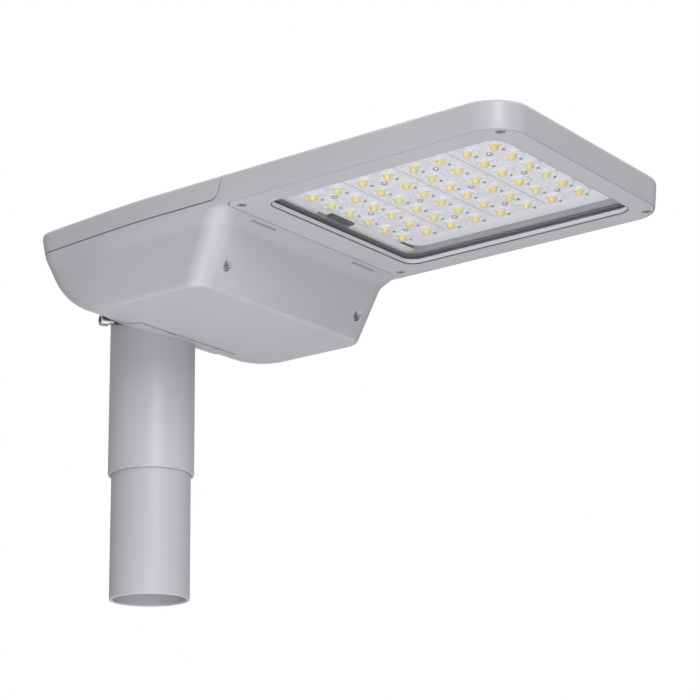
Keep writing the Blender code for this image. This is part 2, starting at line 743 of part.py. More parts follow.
def make_lens_plates():
    for plate in range(4):
        columns = (2 * plate, 2 * plate + 1)
        middle = LED_X + (plate - 1.5) * 2 * PITCH
        outline = rounded_rectangle(middle - PITCH + 0.0004, middle + PITCH - 0.0004, 3 * PITCH, 0.003, 2)
        lens = part(f"lens_plate_{plate + 1}", prism(outline, LENS_LOW, LENS_HIGH), LENS)
        for x, y in led_places(columns):
            join(lens, dome(x, y, LENS_LOW - LENS_HEIGHT, LENS_LOW + 0.0008, 0.0088))


def make_connector():
    low_x, high_x = 0.2306, 0.2378
    half, flap_near, flap_far = 0.016, 0.018, 0.031
    part("board_connector", soft_box((low_x, LEAD_Y - half, 0.3242), (high_x, LEAD_Y + half, 0.3300), 0.0006, 1),
         BLACK_PLASTIC)
    part("connector_flap",
         soft_box((low_x, LEAD_Y - flap_far, 0.3262), (high_x, LEAD_Y - flap_near, 0.3276), 0.0004, 1),
         WHITE_PLASTIC)


# ---------------------------------------------------------------- control gear
TRAY_LOW = FLOOR_INNER + 0.0035
TRAY_HIGH = TRAY_LOW + 0.0015
GEAR_FOOT = TRAY_HIGH + GAP


def make_tray():
    tray = part("gear_tray", box((0.0785, -0.108, TRAY_LOW), (0.1590, 0.108, TRAY_HIGH)), STEEL)
    for side in (-1, 1):
        tab_y = side * WALL_SCREW_Y
        join(tray, box((0.1570, tab_y - 0.008, TRAY_LOW), (0.1590, tab_y + 0.008, WALL_SCREW_Z + 0.007)))
        cut(tray, rod((0.15, tab_y, WALL_SCREW_Z), (0.17, tab_y, WALL_SCREW_Z), 0.0023, 12))
        cap_screw("wall_screw_left" if side > 0 else "wall_screw_right",
                  (WALL_SCREW_SEAT + GAP, tab_y, WALL_SCREW_Z), (1, 0, 0), 0.0046, 0.0020, 0.0190, 0.0020)


def make_gear():
    driver = part("led_driver", soft_box((0.1070, -0.092, GEAR_FOOT), (0.1560, 0.056, 0.2960), 0.0015, 1),
                  WHITE_PLASTIC)
    cut(driver, box((0.112, -0.100, 0.286), (0.151, -0.086, 0.300)))
    part("surge_protector", soft_box((0.0800, 0.046, GEAR_FOOT), (0.1030, 0.094, 0.2880), 0.0012, 1),
         BLACK_PLASTIC)
    block = part("terminal_block", soft_box((0.0805, -0.030, GEAR_FOOT), (0.1020, 0.032, 0.2800), 0.0010, 1),
                 WHITE_PLASTIC)
    for i in range(5):
        y = -0.024 + i * 0.0125
        cut(block, rod((0.0960, y, 0.2740), (0.0960, y, 0.2900), 0.0028, 10))
    part("disconnector_socket", soft_box((0.1120, 0.064, GEAR_FOOT), (0.1500, 0.104, 0.2960), 0.0012, 1),
         BLACK_PLASTIC)
    plug = part("disconnector_plug", soft_box((0.1160, 0.069, 0.2990), (0.1460, 0.099, 0.3378), 0.0010, 1),
                WHITE_PLASTIC)
    cut(plug, box((0.1125, 0.0735, 0.315), (0.1495, 0.0945, 0.330)))
    clamp = part("cable_clamp", soft_box((0.0800, -0.070, GEAR_FOOT), (0.0950, -0.040, 0.2700), 0.0010, 1),
                 BLACK_PLASTIC)
    cut(clamp, rod((0.070, -0.055, 0.2650), (0.105, -0.055, 0.2650), 0.0040, 12))
    for number, y in ((1, -0.0660), (2, -0.0440)):
        cap_screw(f"cable_clamp_screw_{number}", (0.0875, y, 0.2700 + GAP), (0, 0, 1), 0.0026, 0.0013, 0.0001, 0.0018)


def make_gland_and_vent():
    nut = rod((0.0757, 0, 0.303), (0.0797, 0, 0.303), 0.0125, 6)
    profile = ((0.0045, 0.0115), (0.0075, 0.0110), (0.0105, 0.0060), (0.0120, 0.0), (0.0120, -0.0040),
               (0.0080, -0.0040), (0.0080, -0.0150), (0.0045, -0.0150), (0.0045, 0.0115))
    turned("cable_gland", profile, BLACK_PLASTIC, pointing((PARTITION_REAR_X - GAP - 0.0040, 0, 0.303), (-1, 0, 0)))
    obj = part("gland_nut", nut, BLACK_PLASTIC)
    cut(obj, rod((0.070, 0, 0.303), (0.085, 0, 0.303), 0.0083, 16))
    vent = ((0.0, 0.0045), (0.0060, 0.0040), (0.0075, 0.0020), (0.0075, 0.0), (0.0050, 0.0), (0.0050, -0.0080),
            (0.0, -0.0080))
    turned("breather_vent", vent, BLACK_PLASTIC, pointing((PARTITION_REAR_X - GAP, -0.045, 0.300), (-1, 0, 0)))


def make_wires():
    for side, name, material in ((-1, "led_lead_black", BLACK_WIRE), (1, "led_lead_red", RED_WIRE)):
        y = LEAD_Y + side * LEAD_SPREAD
        route = ((0.2306 - GAP, 0.3286), (0.2240, 0.3266)) + DUCT[1:]
        route += ((0.1600, 0.3080), (0.1480, 0.3060), (0.1415, 0.3030), (0.1405, 0.2996), (0.1405, 0.2966))
        wire(name, [(x, y, z) for x, z in route], LEAD_RADIUS, material, 1)
    mains = (("mains_lead_brown", -0.018, -0.070, RED_WIRE), ("mains_lead_blue", -0.006, -0.060, BLACK_WIRE))
    for name, start_y, end_y, material in mains:
        wire(name, ((0.0960, start_y, 0.2800 + GAP), (0.0970, start_y - 0.002, 0.2920), (0.1040, start_y - 0.012, 0.3020),
                    (0.1180, (start_y + end_y) / 2, 0.3060), (0.1310, end_y, 0.3050), (0.1335, end_y, 0.3000),
                    (0.1335, end_y, 0.2966)),
             0.0014, material)


def main():
    make_pole()
    make_adapter()
    make_clamp_screws()
    make_tilt_bolts()
    make_housing()
    make_cover()
    make_hinge_pins()
    make_latches()
    make_cover_gasket()
    make_frame()
    make_glass()
    make_frame_screws()
    make_board()
    make_lens_plates()
    make_connector()
    make_tray()
    make_gear()
    make_gland_and_vent()
    make_wires()


main()
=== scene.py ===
import json
import math

import bmesh
import bpy
from mathutils import Matrix, Vector


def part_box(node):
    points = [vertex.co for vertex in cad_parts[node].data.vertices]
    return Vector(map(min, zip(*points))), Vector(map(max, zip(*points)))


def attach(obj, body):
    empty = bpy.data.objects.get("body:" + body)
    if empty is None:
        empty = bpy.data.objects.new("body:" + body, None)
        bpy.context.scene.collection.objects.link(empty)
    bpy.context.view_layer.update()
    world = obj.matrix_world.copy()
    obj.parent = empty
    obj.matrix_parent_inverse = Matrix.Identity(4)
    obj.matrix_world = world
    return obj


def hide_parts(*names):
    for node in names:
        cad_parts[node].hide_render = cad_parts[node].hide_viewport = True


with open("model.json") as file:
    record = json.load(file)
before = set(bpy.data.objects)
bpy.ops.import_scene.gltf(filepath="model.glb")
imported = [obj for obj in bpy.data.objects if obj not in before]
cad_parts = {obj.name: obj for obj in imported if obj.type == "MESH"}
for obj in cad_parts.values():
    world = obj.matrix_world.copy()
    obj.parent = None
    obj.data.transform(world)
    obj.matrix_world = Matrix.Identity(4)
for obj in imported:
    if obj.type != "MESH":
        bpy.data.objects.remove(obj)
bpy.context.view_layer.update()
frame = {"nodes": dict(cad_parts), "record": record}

# ------------ places read from the frame
HEAD_LOW, HEAD_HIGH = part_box("main_housing")
COVER_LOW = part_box("top_cover")[0]
RIM_LOW, RIM_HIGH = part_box("glass_frame")
GLASS_LOW, GLASS_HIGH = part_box("cover_glass")
SLEEVE_LOW, SLEEVE_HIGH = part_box("spigot_adapter")
POST_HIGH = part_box("pole_section")[1]

HALF_WIDTH = HEAD_HIGH.y
TIP_X = HEAD_HIGH.x
TOP_Z = HEAD_HIGH.z
FLOOR_Z = HEAD_LOW.z
UNDERSIDE = RIM_LOW.z
SEAM_GAP = 0.0006
SEAM_Z = COVER_LOW.z - SEAM_GAP
PIVOT_Z = 0.293
# beyond the head on every side, where a cutter starts or ends
BELOW = 0.20
ABOVE = 0.40

TIP_CORNER = 0.034
REAR_CORNER = 0.023
REAR_NARROWING = 0.0105
TAPER_START = 0.110
BOWL_CORNER_X = 0.1865
REAR_ARC_RADIUS = 0.090
REAR_ARC_X = 0.050
REAR_ARC_Z = FLOOR_Z + REAR_ARC_RADIUS

WINDOW_REAR_X = 0.2304
WINDOW_TIP_X = 0.476
WINDOW_HALF = 0.1114
WINDOW_CORNER = 0.014
FRAME_REAR_X = 0.2035
FRAME_INSET = 0.0035
CAVITY_TOP = 0.3309

NOTCH_HALF = 0.069
NOTCH_FRONT_X = 0.047
LUG_OUTER = 0.0745
PARTITION_REAR_X = 0.068
PARTITION_FRONT_X = 0.0745
FLOOR_INNER = FLOOR_Z + 0.0035
SLEEVE_RADIUS = 0.04125
POST_RADIUS = POST_HIGH.x
DRUM_RADIUS = 0.037
DRUM_HALF = SLEEVE_HIGH.y

HINGE_X = 0.2125
HINGE_Z = 0.3385
HINGE_Y = 0.060
LATCH_Y = 0.0790
LATCH_HALF = 0.0095
LATCH_X = -0.0434
LATCH_Z = 0.3265

PITCH = 0.0275
LED_X = 0.348
LED_COLUMNS = 8
LED_ROWS = 6
SCREW_X = (0.2126, 0.4832)
SCREW_Y = 0.1202
WALL_SCREW_Y = 0.097
WALL_SCREW_Z = 0.2695
WALL_SCREW_SEAT = 0.1718
GLAND_Z = 0.303
VENT_Y = -0.045
VENT_Z = 0.300
REARWARD = (-1, 0, 0)
# radii of the holes
TILT_BOLT_HOLE = 0.0053
SCREW_HOLE = 0.0023
HINGE_PIN_HOLE = 0.0019
LATCH_PIN_HOLE = 0.0015
GLAND_HOLE = 0.0083

SMOOTH_ANGLE = 35.0
CASTING_ANGLE = 30.0

# ------------ mesh helpers


def link(obj):
    bpy.context.scene.collection.objects.link(obj)
    return obj


def smooth(mesh, angle):
    """Smooth shading, with the edges over an angle left sharp."""
    mesh.shade_smooth()
    mesh.set_sharp_from_angle(angle=math.radians(angle))


def mesh_object(name, bm, angle=SMOOTH_ANGLE):
    """An object from a finished shape, with its faces turned outward; the angle 0 leaves it flat."""
    bmesh.ops.recalc_face_normals(bm, faces=bm.faces)
    mesh = bpy.data.meshes.new(name)
    bm.to_mesh(mesh)
    bm.free()
    if angle:
        smooth(mesh, angle)
    return link(bpy.data.objects.new(name, mesh))


def piece(name, bm, material, body="head", angle=SMOOTH_ANGLE):
    """A finished piece of the object, riding on its body."""
    return dress(mesh_object(name, bm, angle), material, body)


def dress(obj, material, body="head"):
    obj.data.materials.clear()
    obj.data.materials.append(material)
    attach(obj, body)
    return obj


def arc(centre, radius, start, end, steps):
    """Points on an arc; the angles are in degrees, from the first axis towards the second."""
    points = []
    for i in range(steps + 1):
        angle = math.radians(start + (end - start) * i / steps)
        points.append((centre[0] + radius * math.cos(angle), centre[1] + radius * math.sin(angle)))
    return points


def smooth_run(knots, steps):
    """A smooth run of tuples through the knots (Catmull-Rom)."""
    knots = [Vector(k) for k in knots]
    ends = [knots[0] * 2 - knots[1]] + knots + [knots[-1] * 2 - knots[-2]]
    run = []
    for a, b, c, d in zip(ends, ends[1:], ends[2:], ends[3:]):
        for i in range(steps):
            t = i / steps
            run.append(0.5 * (2 * b + (c - a) * t + (2 * a - 5 * b + 4 * c - d) * t * t
                              + (3 * b - a - 3 * c + d) * t ** 3))
    return [tuple(point) for point in run + [knots[-1]]]


def box(low, high):
    bm = bmesh.new()
    bmesh.ops.create_cube(bm, size=1.0)
    bmesh.ops.scale(bm, vec=[b - a for a, b in zip(low, high)], verts=bm.verts)
    bmesh.ops.translate(bm, vec=[(a + b) / 2 for a, b in zip(low, high)], verts=bm.verts)
    return bm


def soft_box(low, high, radius, segments=3):
    bm = box(low, high)
    bmesh.ops.bevel(bm, geom=bm.edges[:], offset=radius, segments=segments, profile=0.5,
                    affect="EDGES")
    return bm


def rod(start, end, radius, segments=32):
    start = Vector(start)
    along = Vector(end) - start
    bm = bmesh.new()
    bmesh.ops.create_cone(bm, cap_ends=True, segments=segments, radius1=radius, radius2=radius,
                          depth=along.length)
    bmesh.ops.transform(bm, matrix=pointing(start + along / 2, along), verts=bm.verts)
    return bm


def rod_x(start_x, end_x, y, z, radius, segments=32):
    return rod((start_x, y, z), (end_x, y, z), radius, segments)


def rod_y(x, z, start_y, end_y, radius, segments=32):
    return rod((x, start_y, z), (x, end_y, z), radius, segments)


def rod_z(x, y, start_z, end_z, radius, segments=32):
    return rod((x, y, start_z), (x, y, end_z), radius, segments)


def prism(outline, low, high, axis="Z"):
    """A closed solid with one outline, from low to high along Z or Y."""
    bm = bmesh.new()
    corners = [(a, low, b) if axis == "Y" else (a, b, low) for a, b in outline]
    face = bm.faces.new([bm.verts.new(corner) for corner in corners])
    out = bmesh.ops.extrude_face_region(bm, geom=[face])
    moved = [v for v in out["geom"] if isinstance(v, bmesh.types.BMVert)]
    bmesh.ops.translate(bm, verts=moved, vec=[high - low if name == axis else 0 for name in "XYZ"])
    return bm


def skin(bm, upper, lower):
    """Side faces between two closed loops of vertices; shared vertices make triangles."""
    count = len(upper)
    for i in range(count):
        j = (i + 1) % count
        corners = [upper[i], upper[j], lower[j], lower[i]]
        corners = [v for k, v in enumerate(corners) if v not in corners[:k]]
        if len(corners) > 2:
            bm.faces.new(corners)


def loft(levels):
    """A closed solid through level outlines, given as lists of (x, y, z)."""
    bm = bmesh.new()
    loops = [[bm.verts.new(p) for p in level] for level in levels]
    bm.faces.new(loops[0])
    bm.faces.new(loops[-1])
    for upper, lower in zip(loops, loops[1:]):
        skin(bm, upper, lower)
    return bm


def turned(profile, axis_matrix, segments=32):
    """A profile of (radius, height) turned about an axis; it ends on the axis or closes on itself."""
    bm = bmesh.new()
    loops = []
    closed = profile[0] == profile[-1]
    for radius, height in profile[closed:]:
        if radius == 0:
            loops.append([bm.verts.new((0, 0, height))] * segments)
        else:
            circle = arc((0, 0), radius, 0, 360, segments)[:-1]
            loops.append([bm.verts.new((x, y, height)) for x, y in circle])
    for upper, lower in zip(loops, loops[1:] + loops[:closed]):
        skin(bm, upper, lower)
    bmesh.ops.transform(bm, matrix=axis_matrix, verts=bm.verts)
    return bm


def pointing(origin, direction):
    """The placing that turns +Z to a direction, at an origin."""
    turn = Vector((0, 0, 1)).rotation_difference(Vector(direction)).to_matrix().to_4x4()
    return Matrix.Translation(Vector(origin)) @ turn


def merged(shapes):
    """Several closed shapes in one mesh."""
    whole = bmesh.new()
    for shape in shapes:
        mesh = bpy.data.meshes.new("merge")
        shape.to_mesh(mesh)
        shape.free()
        whole.from_mesh(mesh)
        bpy.data.meshes.remove(mesh)
    return whole


def combine(target, operation, shapes):
    """Cuts shapes from the target, or joins them to it, and keeps the result as its mesh."""
    helpers = []
    for shape in shapes:
        helper = mesh_object("helper", shape, 0)
        modifier = target.modifiers.new("shape", "BOOLEAN")
        modifier.operation = operation
        modifier.solver = "EXACT"
        modifier.object = helper
        helpers.append(helper)
    settle(target)
    for helper in helpers:
        bpy.data.objects.remove(helper, do_unlink=True)


def cut(target, shapes):
    combine(target, "DIFFERENCE", shapes)


def settle(target):
    """The object's mesh becomes what its modifiers make of it."""
    depsgraph = bpy.context.evaluated_depsgraph_get()
    mesh = bpy.data.meshes.new_from_object(target.evaluated_get(depsgraph))
    old = target.data
    target.modifiers.clear()
    target.data = mesh
    bpy.data.meshes.remove(old)


def shade(obj, angle=SMOOTH_ANGLE):
    """Smooth shading that keeps the broad faces flat, with edges over the angle left sharp."""
    smooth(obj.data, angle)
    weighting = obj.modifiers.new("weighting", "WEIGHTED_NORMAL")
    weighting.keep_sharp = True
    weighting.weight = 80
    settle(obj)


def swap(obj, node, material, body="head", angle=CASTING_ANGLE):
    """Dresses a finished piece and puts it in the place of one CAD piece."""
    shade(obj, angle)
    dress(obj, material, body)
    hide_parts(node)


def moulding(name, node, radius, cuts, material, body="head"):
    """A rounded casing with cuts in it, that fills one CAD piece's box and takes its place."""
    case = mesh_object(name, soft_box(*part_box(node), radius))
    cut(case, cuts)
    swap(case, node, material, body)


# ------------ material helpers


class Nodes:
    """Short names for building one material."""

    def __init__(self, name):
        self.material = bpy.data.materials.new(name)
        self.material.use_nodes = True
        self.tree = self.material.node_tree

    def fill(self, node, **inputs):
        """Sets a node's inputs; a value that is another node's output is linked."""
        for name, value in inputs.items():
            socket = node.inputs[name.replace("_", " ")]
            if isinstance(value, bpy.types.NodeSocket):
                self.tree.links.new(value, socket)
            else:
                socket.default_value = value

    def add(self, kind, **inputs):
        node = self.tree.nodes.new(kind)
        self.fill(node, **inputs)
        return node

    def look(self, **inputs):
        """The finished material, with these inputs on its shader."""
        self.fill(self.tree.nodes["Principled BSDF"], **inputs)
        return self.material

    def place(self):
        return self.add("ShaderNodeTexCoord").outputs["Object"]

    def noise(self, scale, detail=2.0, vector=None):
        node = self.add("ShaderNodeTexNoise", Scale=scale, Detail=detail, Vector=vector or self.place())
        return node.outputs["Fac"]

    def ramp(self, factor, stops):
        node = self.add("ShaderNodeValToRGB", Fac=factor)
        elements = node.color_ramp.elements
        while len(elements) < len(stops):
            elements.new(0.5)
        for element, (position, colour) in zip(elements, stops):
            element.position = position
            element.color = (*colour, 1.0)
        return node.outputs["Color"]

    def span(self, factor, low, high):
        return self.add("ShaderNodeMapRange", Value=factor, To_Min=low, To_Max=high).outputs["Result"]

    def multiply(self, a, b):
        node = self.add("ShaderNodeMix")
        node.data_type = "RGBA"
        node.blend_type = "MULTIPLY"
        node.inputs[0].default_value = 1.0
        self.tree.links.new(a, node.inputs[6])
        self.tree.links.new(b, node.inputs[7])
        return node.outputs[2]

    def bump(self, height, strength, distance, before=None):
        node = self.add("ShaderNodeBump", Height=height, Strength=strength, Distance=distance)
        if before:
            self.fill(node, Normal=before)
        return node.outputs["Normal"]


def grey(value, tint=0.0):
    return (value, value, value * (1 + tint))


def powder_coat(name, tone, roughness):
    """Satin powder coat: a fine even grain, with a faint drift of tone over the casting."""
    n = Nodes(name)
    speckle = n.noise(2600.0)
    base = n.ramp(n.noise(9.0, 3.0), ((0.30, grey(tone * 0.975, 0.060)), (0.70, grey(tone * 1.02, 0.055))))
    flecks = n.ramp(speckle, ((0.30, grey(0.94)), (0.50, grey(1.0)), (0.72, grey(1.045))))
    peel = n.bump(n.noise(420.0), 0.10, 0.00022)
    return n.look(Base_Color=n.multiply(base, flecks),
                  Roughness=n.span(n.noise(60.0, 3.0), roughness - 0.05, roughness + 0.05),
                  Normal=n.bump(speckle, 0.22, 0.00010, peel))


def steel(name, tone, roughness, streak):
    """Stainless steel with fine lines, drawn out along Z as streak gets smaller."""
    n = Nodes(name)
    stretched = n.add("ShaderNodeMapping", Scale=(1.0, 1.0, streak), Vector=n.place())
    lines = n.noise(900.0, 4.0, stretched.outputs["Vector"])
    return n.look(Base_Color=n.ramp(lines, ((0.2, grey(tone * 0.82)), (0.8, grey(tone * 1.08)))),
                  Roughness=n.span(lines, roughness - 0.08, roughness + 0.12),
                  Normal=n.bump(lines, 0.12, 0.00008),
                  Metallic=1.0)


def moulded(name, colour, roughness, grain=1400.0):
    """Moulded plastic or rubber with a fine spark-eroded grain."""
    n = Nodes(name)
    fine = n.noise(grain, 3.0)
    dark = tuple(c * 0.90 for c in colour)
    light = tuple(min(c * 1.08 + 0.002, 1.0) for c in colour)
    return n.look(Base_Color=n.ramp(fine, ((0.3, dark), (0.7, light))),
                  Roughness=n.span(n.noise(120.0), roughness - 0.05, roughness + 0.07),
                  Normal=n.bump(fine, 0.18, 0.00008))


def clear_glass():
    """Clear toughened glass: nearly invisible face on, and mirror-like at a low angle."""
    n = Nodes("toughened_glass")
    rim = n.add("ShaderNodeLayerWeight", Blend=0.35)
    return n.look(Base_Color=(0.30, 0.32, 0.33, 1.0), Roughness=0.02, Specular_IOR_Level=1.0,
                  Alpha=n.span(rim.outputs["Facing"], 0.05, 0.20))


def lens_plastic():
    """Clear acrylic as it looks over the white board: bright, faintly lilac and wet-looking."""
    n = Nodes("clear_acrylic")
    cells = n.add("ShaderNodeTexVoronoi", Scale=420.0, Vector=n.place()).outputs["Distance"]
    tone = n.ramp(cells, ((0.0, (0.88, 0.87, 0.90)), (0.8, (0.77, 0.76, 0.83))))
    patch = n.ramp(n.noise(150.0), ((0.35, (0.92, 0.91, 0.95)), (0.62, (1.0, 1.0, 1.0))))
    return n.look(Base_Color=n.multiply(tone, patch), Roughness=n.span(n.noise(300.0), 0.06, 0.16),
                  Normal=n.bump(cells, 0.25, 0.0004), Coat_Weight=0.5, Coat_Roughness=0.03)


def board_white():
    """White solder resist over a faint net of copper tracks."""
    n = Nodes("board_white")
    bricks = n.add("ShaderNodeTexBrick", Scale=1.0 / PITCH, Mortar_Size=0.035, Brick_Width=0.5,
                   Row_Height=0.25, Vector=n.place())
    tracks = bricks.outputs["Fac"]
    tone = n.ramp(tracks, ((0.0, (0.84, 0.83, 0.87)), (1.0, (0.76, 0.75, 0.81))))
    grain = n.ramp(n.noise(900.0), ((0.3, grey(0.93)), (0.7, grey(1.04))))
    return n.look(Base_Color=n.multiply(tone, grain), Roughness=n.span(n.noise(200.0), 0.34, 0.48),
                  Normal=n.bump(tracks, 0.3, 0.0001))


def phosphor(tip_z, base_z):
    """The yellow phosphor as its dome shows it: warm at the tip, and pale at the rim, where the pale is a
    painted highlight.
    """
    n = Nodes("led_phosphor_and_painted_highlight")
    height = n.add("ShaderNodeSeparateXYZ", Vector=n.place()).outputs["Z"]
    level = n.add("ShaderNodeMapRange", Value=height, From_Min=tip_z, From_Max=base_z)
    # pale near-white at the base end is a painted highlight; the yellow and orange towards the tip are the
    # phosphor's own tone
    tone_and_highlight = n.ramp(level.outputs["Result"], ((0.0, (0.84, 0.60, 0.34)), (0.22, (0.86, 0.66, 0.24)),
                                            (0.52, (0.88, 0.78, 0.26)), (0.80, (0.93, 0.88, 0.52)),
                                            (1.0, (0.96, 0.95, 0.86))))
    tint = n.ramp(n.noise(38.0, 1.0), ((0.35, (1.0, 0.94, 0.84)), (0.65, (0.93, 1.0, 0.80))))
    return n.look(Base_Color=n.multiply(tone_and_highlight, tint), Roughness=n.span(n.noise(700.0), 0.10, 0.20),
                  Coat_Weight=0.6, Coat_Roughness=0.04)


PAINT = powder_coat("head_powder_coat", 0.385, 0.40)
POST_PAINT = powder_coat("post_powder_coat", 0.365, 0.46)
STEEL = steel("stainless_steel", 0.60, 0.28, 0.08)
DARK_STEEL = steel("dulled_steel", 0.52, 0.45, 0.10)
RUBBER = moulded("black_silicone", (0.022, 0.022, 0.024), 0.62)
# grey silicone for the glass gasket; the same grey also paints the shadow line on the window's edge
GREY_RUBBER_AND_SHADE = moulded("grey_silicone_and_painted_shade", (0.11, 0.11, 0.115), 0.60)
BLACK = moulded("black_nylon", (0.020, 0.020, 0.022), 0.46)
WHITE = moulded("white_polycarbonate", (0.76, 0.76, 0.74), 0.38)
# pale tone for the white lining behind the window, and for the bead whose light colour paints a highlight
# on the window's lip
PALE_BEAD_AND_HIGHLIGHT = moulded("pale_bead_and_painted_highlight", (0.66, 0.655, 0.69), 0.35)
CASE_GREY = moulded("driver_casing", (0.66, 0.67, 0.68), 0.34, 800.0)
RED = moulded("red_insulation", (0.50, 0.025, 0.018), 0.42)
BROWN = moulded("brown_insulation", (0.16, 0.060, 0.022), 0.42)
BLUE = moulded("blue_insulation", (0.020, 0.090, 0.36), 0.42)
DARK_WIRE = moulded("black_insulation", (0.018, 0.018, 0.018), 0.42)
BOARD = board_white()
BOARD_PART = moulded("board_component", (0.30, 0.29, 0.31), 0.4)
GLASS = clear_glass()
LENS = lens_plastic()

# ------------ outline of the head


def half_width(x):
    """Half of the head's widest width at X; it narrows towards the post."""
    if x >= TAPER_START:
        return HALF_WIDTH
    share = (TAPER_START - x) / (TAPER_START + 0.025)
    return HALF_WIDTH - REAR_NARROWING * share ** 1.25


def rear_end(z):
    """X of the rear end at height Z, on the arc that the bowl's floor runs up into."""
    drop = max(REAR_ARC_Z - z, 0.0)
    return REAR_ARC_X - math.sqrt(max(REAR_ARC_RADIUS ** 2 - drop ** 2, 0.0))


def rear_ring(z, inset, split=BOWL_CORNER_X, widest=HALF_WIDTH):
    """The part of a level outline behind the split, from -Y round the rear to +Y."""
    radius = max(REAR_CORNER - inset * 0.5, 0.006)
    centre_x = rear_end(z) + inset * 0.5 + radius
    if inset > 0.024:
        centre_x = rear_end(z) + inset + radius
    side = []
    for i in range(12):
        x = split + (centre_x - split) * i / 12
        side.append((x, min(half_width(x) - inset, widest)))
    side += arc((centre_x, min(half_width(centre_x) - inset, widest) - radius), radius, 90, 180, 14)
    points = [(x, -y, z) for x, y in side]
    return points + [(x, y, z) for x, y in reversed(side)]


def front_ring(z, tip_x, half, radius, first=0):
    """The part of a level outline ahead of the split, from +Y round the tip to -Y."""
    corner = arc((tip_x - radius, half - radius), radius, 0, 90, 20)
    points = [(x, y, z) for x, y in reversed(corner)][first:]
    return points + [(x, -y, z) for x, y, z in reversed(points)]


# how far the side wall has drawn in at the underside
UNDERSIDE_INSET = 0.0024
# a level under the seam, where the cover's shape ends before it is trimmed
COVER_FOOT = 0.3150

# (height, inset) of the level rings from the crowned top down to the side wall
TOP_KNOTS = ((TOP_Z, 0.062), (0.3410, 0.026), (0.3396, 0.008), (0.3383, 0.0034), (0.3362, 0.0008),
             (0.3330, 0.0))
SIDE_KNOTS = ((COVER_FOOT, 0.0017), (UNDERSIDE, UNDERSIDE_INSET))

# (height, inset, front X, front corner radius) of the bowl's rings: a sloping neck down to a
# crease, a steep wall, and a rounded edge to the floor
BOWL_NECK = ((UNDERSIDE, UNDERSIDE_INSET, 0.2030, 0.0165), (0.3012, 0.0084, 0.1938, 0.0215))
BOWL_CREASE = (0.2984, 0.0092, 0.1922, 0.0218)
BOWL_FOOT = ((0.2535, 0.0132, 0.1683, 0.0190), (0.2500, 0.0142, 0.1664, 0.0180),
             (0.2485, 0.0160, 0.1645, 0.0170), (FLOOR_Z, 0.0178, 0.1625, 0.0160))


def bowl_rings():
    """The bowl's rings from the underside to the floor, ten of them down the steep wall."""
    wall = []
    for i in range(10):
        share = i / 10
        wall.append(tuple(a + (b - a) * share for a, b in zip(BOWL_CREASE, BOWL_FOOT[0])))
    return list(BOWL_NECK) + wall + smooth_run(BOWL_FOOT, 4)


def rear_inset(inset):
    """The bowl's wall stays straight while the head narrows, so its inset shrinks at the rear."""
    return UNDERSIDE_INSET + (inset - UNDERSIDE_INSET) * 0.4


def top_ring(z, inset):
    half = HALF_WIDTH - inset
    radius = max(TIP_CORNER - inset, 0.008)
    return rear_ring(z, inset) + front_ring(z, TIP_X - inset, half, radius)


def slab_shape(lowest):
    """The flat body from its top down to a height, open below, with the loop at that height."""
    bm = bmesh.new()
    rings = smooth_run(TOP_KNOTS, 4) + list(SIDE_KNOTS)
    loops = [[bm.verts.new(p) for p in top_ring(z, inset)] for z, inset in rings if z >= lowest]
    bm.faces.new(loops[0])
    for upper, lower in zip(loops, loops[1:]):
        skin(bm, upper, lower)
    return bm, loops[-1]


def head_shape():
    """The whole outside of the head: the flat body with the bowl under its rear."""
    bm, rim = slab_shape(0)
    rear_count = len(rear_ring(UNDERSIDE, 0.0))
    loops = []
    for z, inset, front_x, radius in bowl_rings():
        half = HALF_WIDTH - inset
        front = front_ring(z, front_x, half, radius, 1)
        if loops:
            outline = rear_ring(z, rear_inset(inset), front_x - radius, half)
            rear = [bm.verts.new(p) for p in outline]
        else:
            rear = rim[:rear_count]
        loops.append(rear + [bm.verts.new(p) for p in front])
    bm.faces.new(rim[rear_count - 1:] + [rim[0]] + list(reversed(loops[0][rear_count:])))
    for upper, lower in zip(loops, loops[1:]):
        skin(bm, upper, lower)
    bm.faces.new(loops[-1])
    return bm


def rounded_rectangle(low_x, high_x, half, radius, steps=10):
    points = arc((high_x - radius, half - radius), radius, 0, 90, steps)
    points += arc((low_x + radius, half - radius), radius, 90, 180, steps)
    points += arc((low_x + radius, radius - half), radius, 180, 270, steps)
    points += arc((high_x - radius, radius - half), radius, 270, 360, steps)
    return points


def window_outline(grow):
    """The window's opening in the frame, grown on every side."""
    return rounded_rectangle(WINDOW_REAR_X - grow, WINDOW_TIP_X + grow, WINDOW_HALF + grow,
                             WINDOW_CORNER + grow * 0.4)


def frame_outline(inset):
    """The window frame's outer edge, set in from the underside's edge."""
    half = HALF_WIDTH - inset
    tip = TIP_X - inset
    corner = TIP_CORNER - inset
    rear = FRAME_REAR_X + inset - FRAME_INSET
    points = arc((tip - corner, half - corner), corner, 0, 90, 18)
    points += arc((rear + 0.010, half - 0.010), 0.010, 90, 180, 8)
    points += arc((rear + 0.010, 0.010 - half), 0.010, 180, 270, 8)
    points += arc((tip - corner, corner - half), corner, 270, 360, 18)
    return points


# ------------ camera, light and floor
VIEW_AZIMUTH, VIEW_ELEVATION, VIEW_ROLL = 36.62, -16.34, -0.81
VIEW_PLACE = (1.3181, -1.4512, -0.3292)
VIEW_LENS = 107.3
BACKDROP = (-0.572, 0.770, 0.281)
ROOM_WHITE = (0.46, 0.46, 0.474)
FLOOR_TOP = -1.50
FLOOR_REACH = 8.0


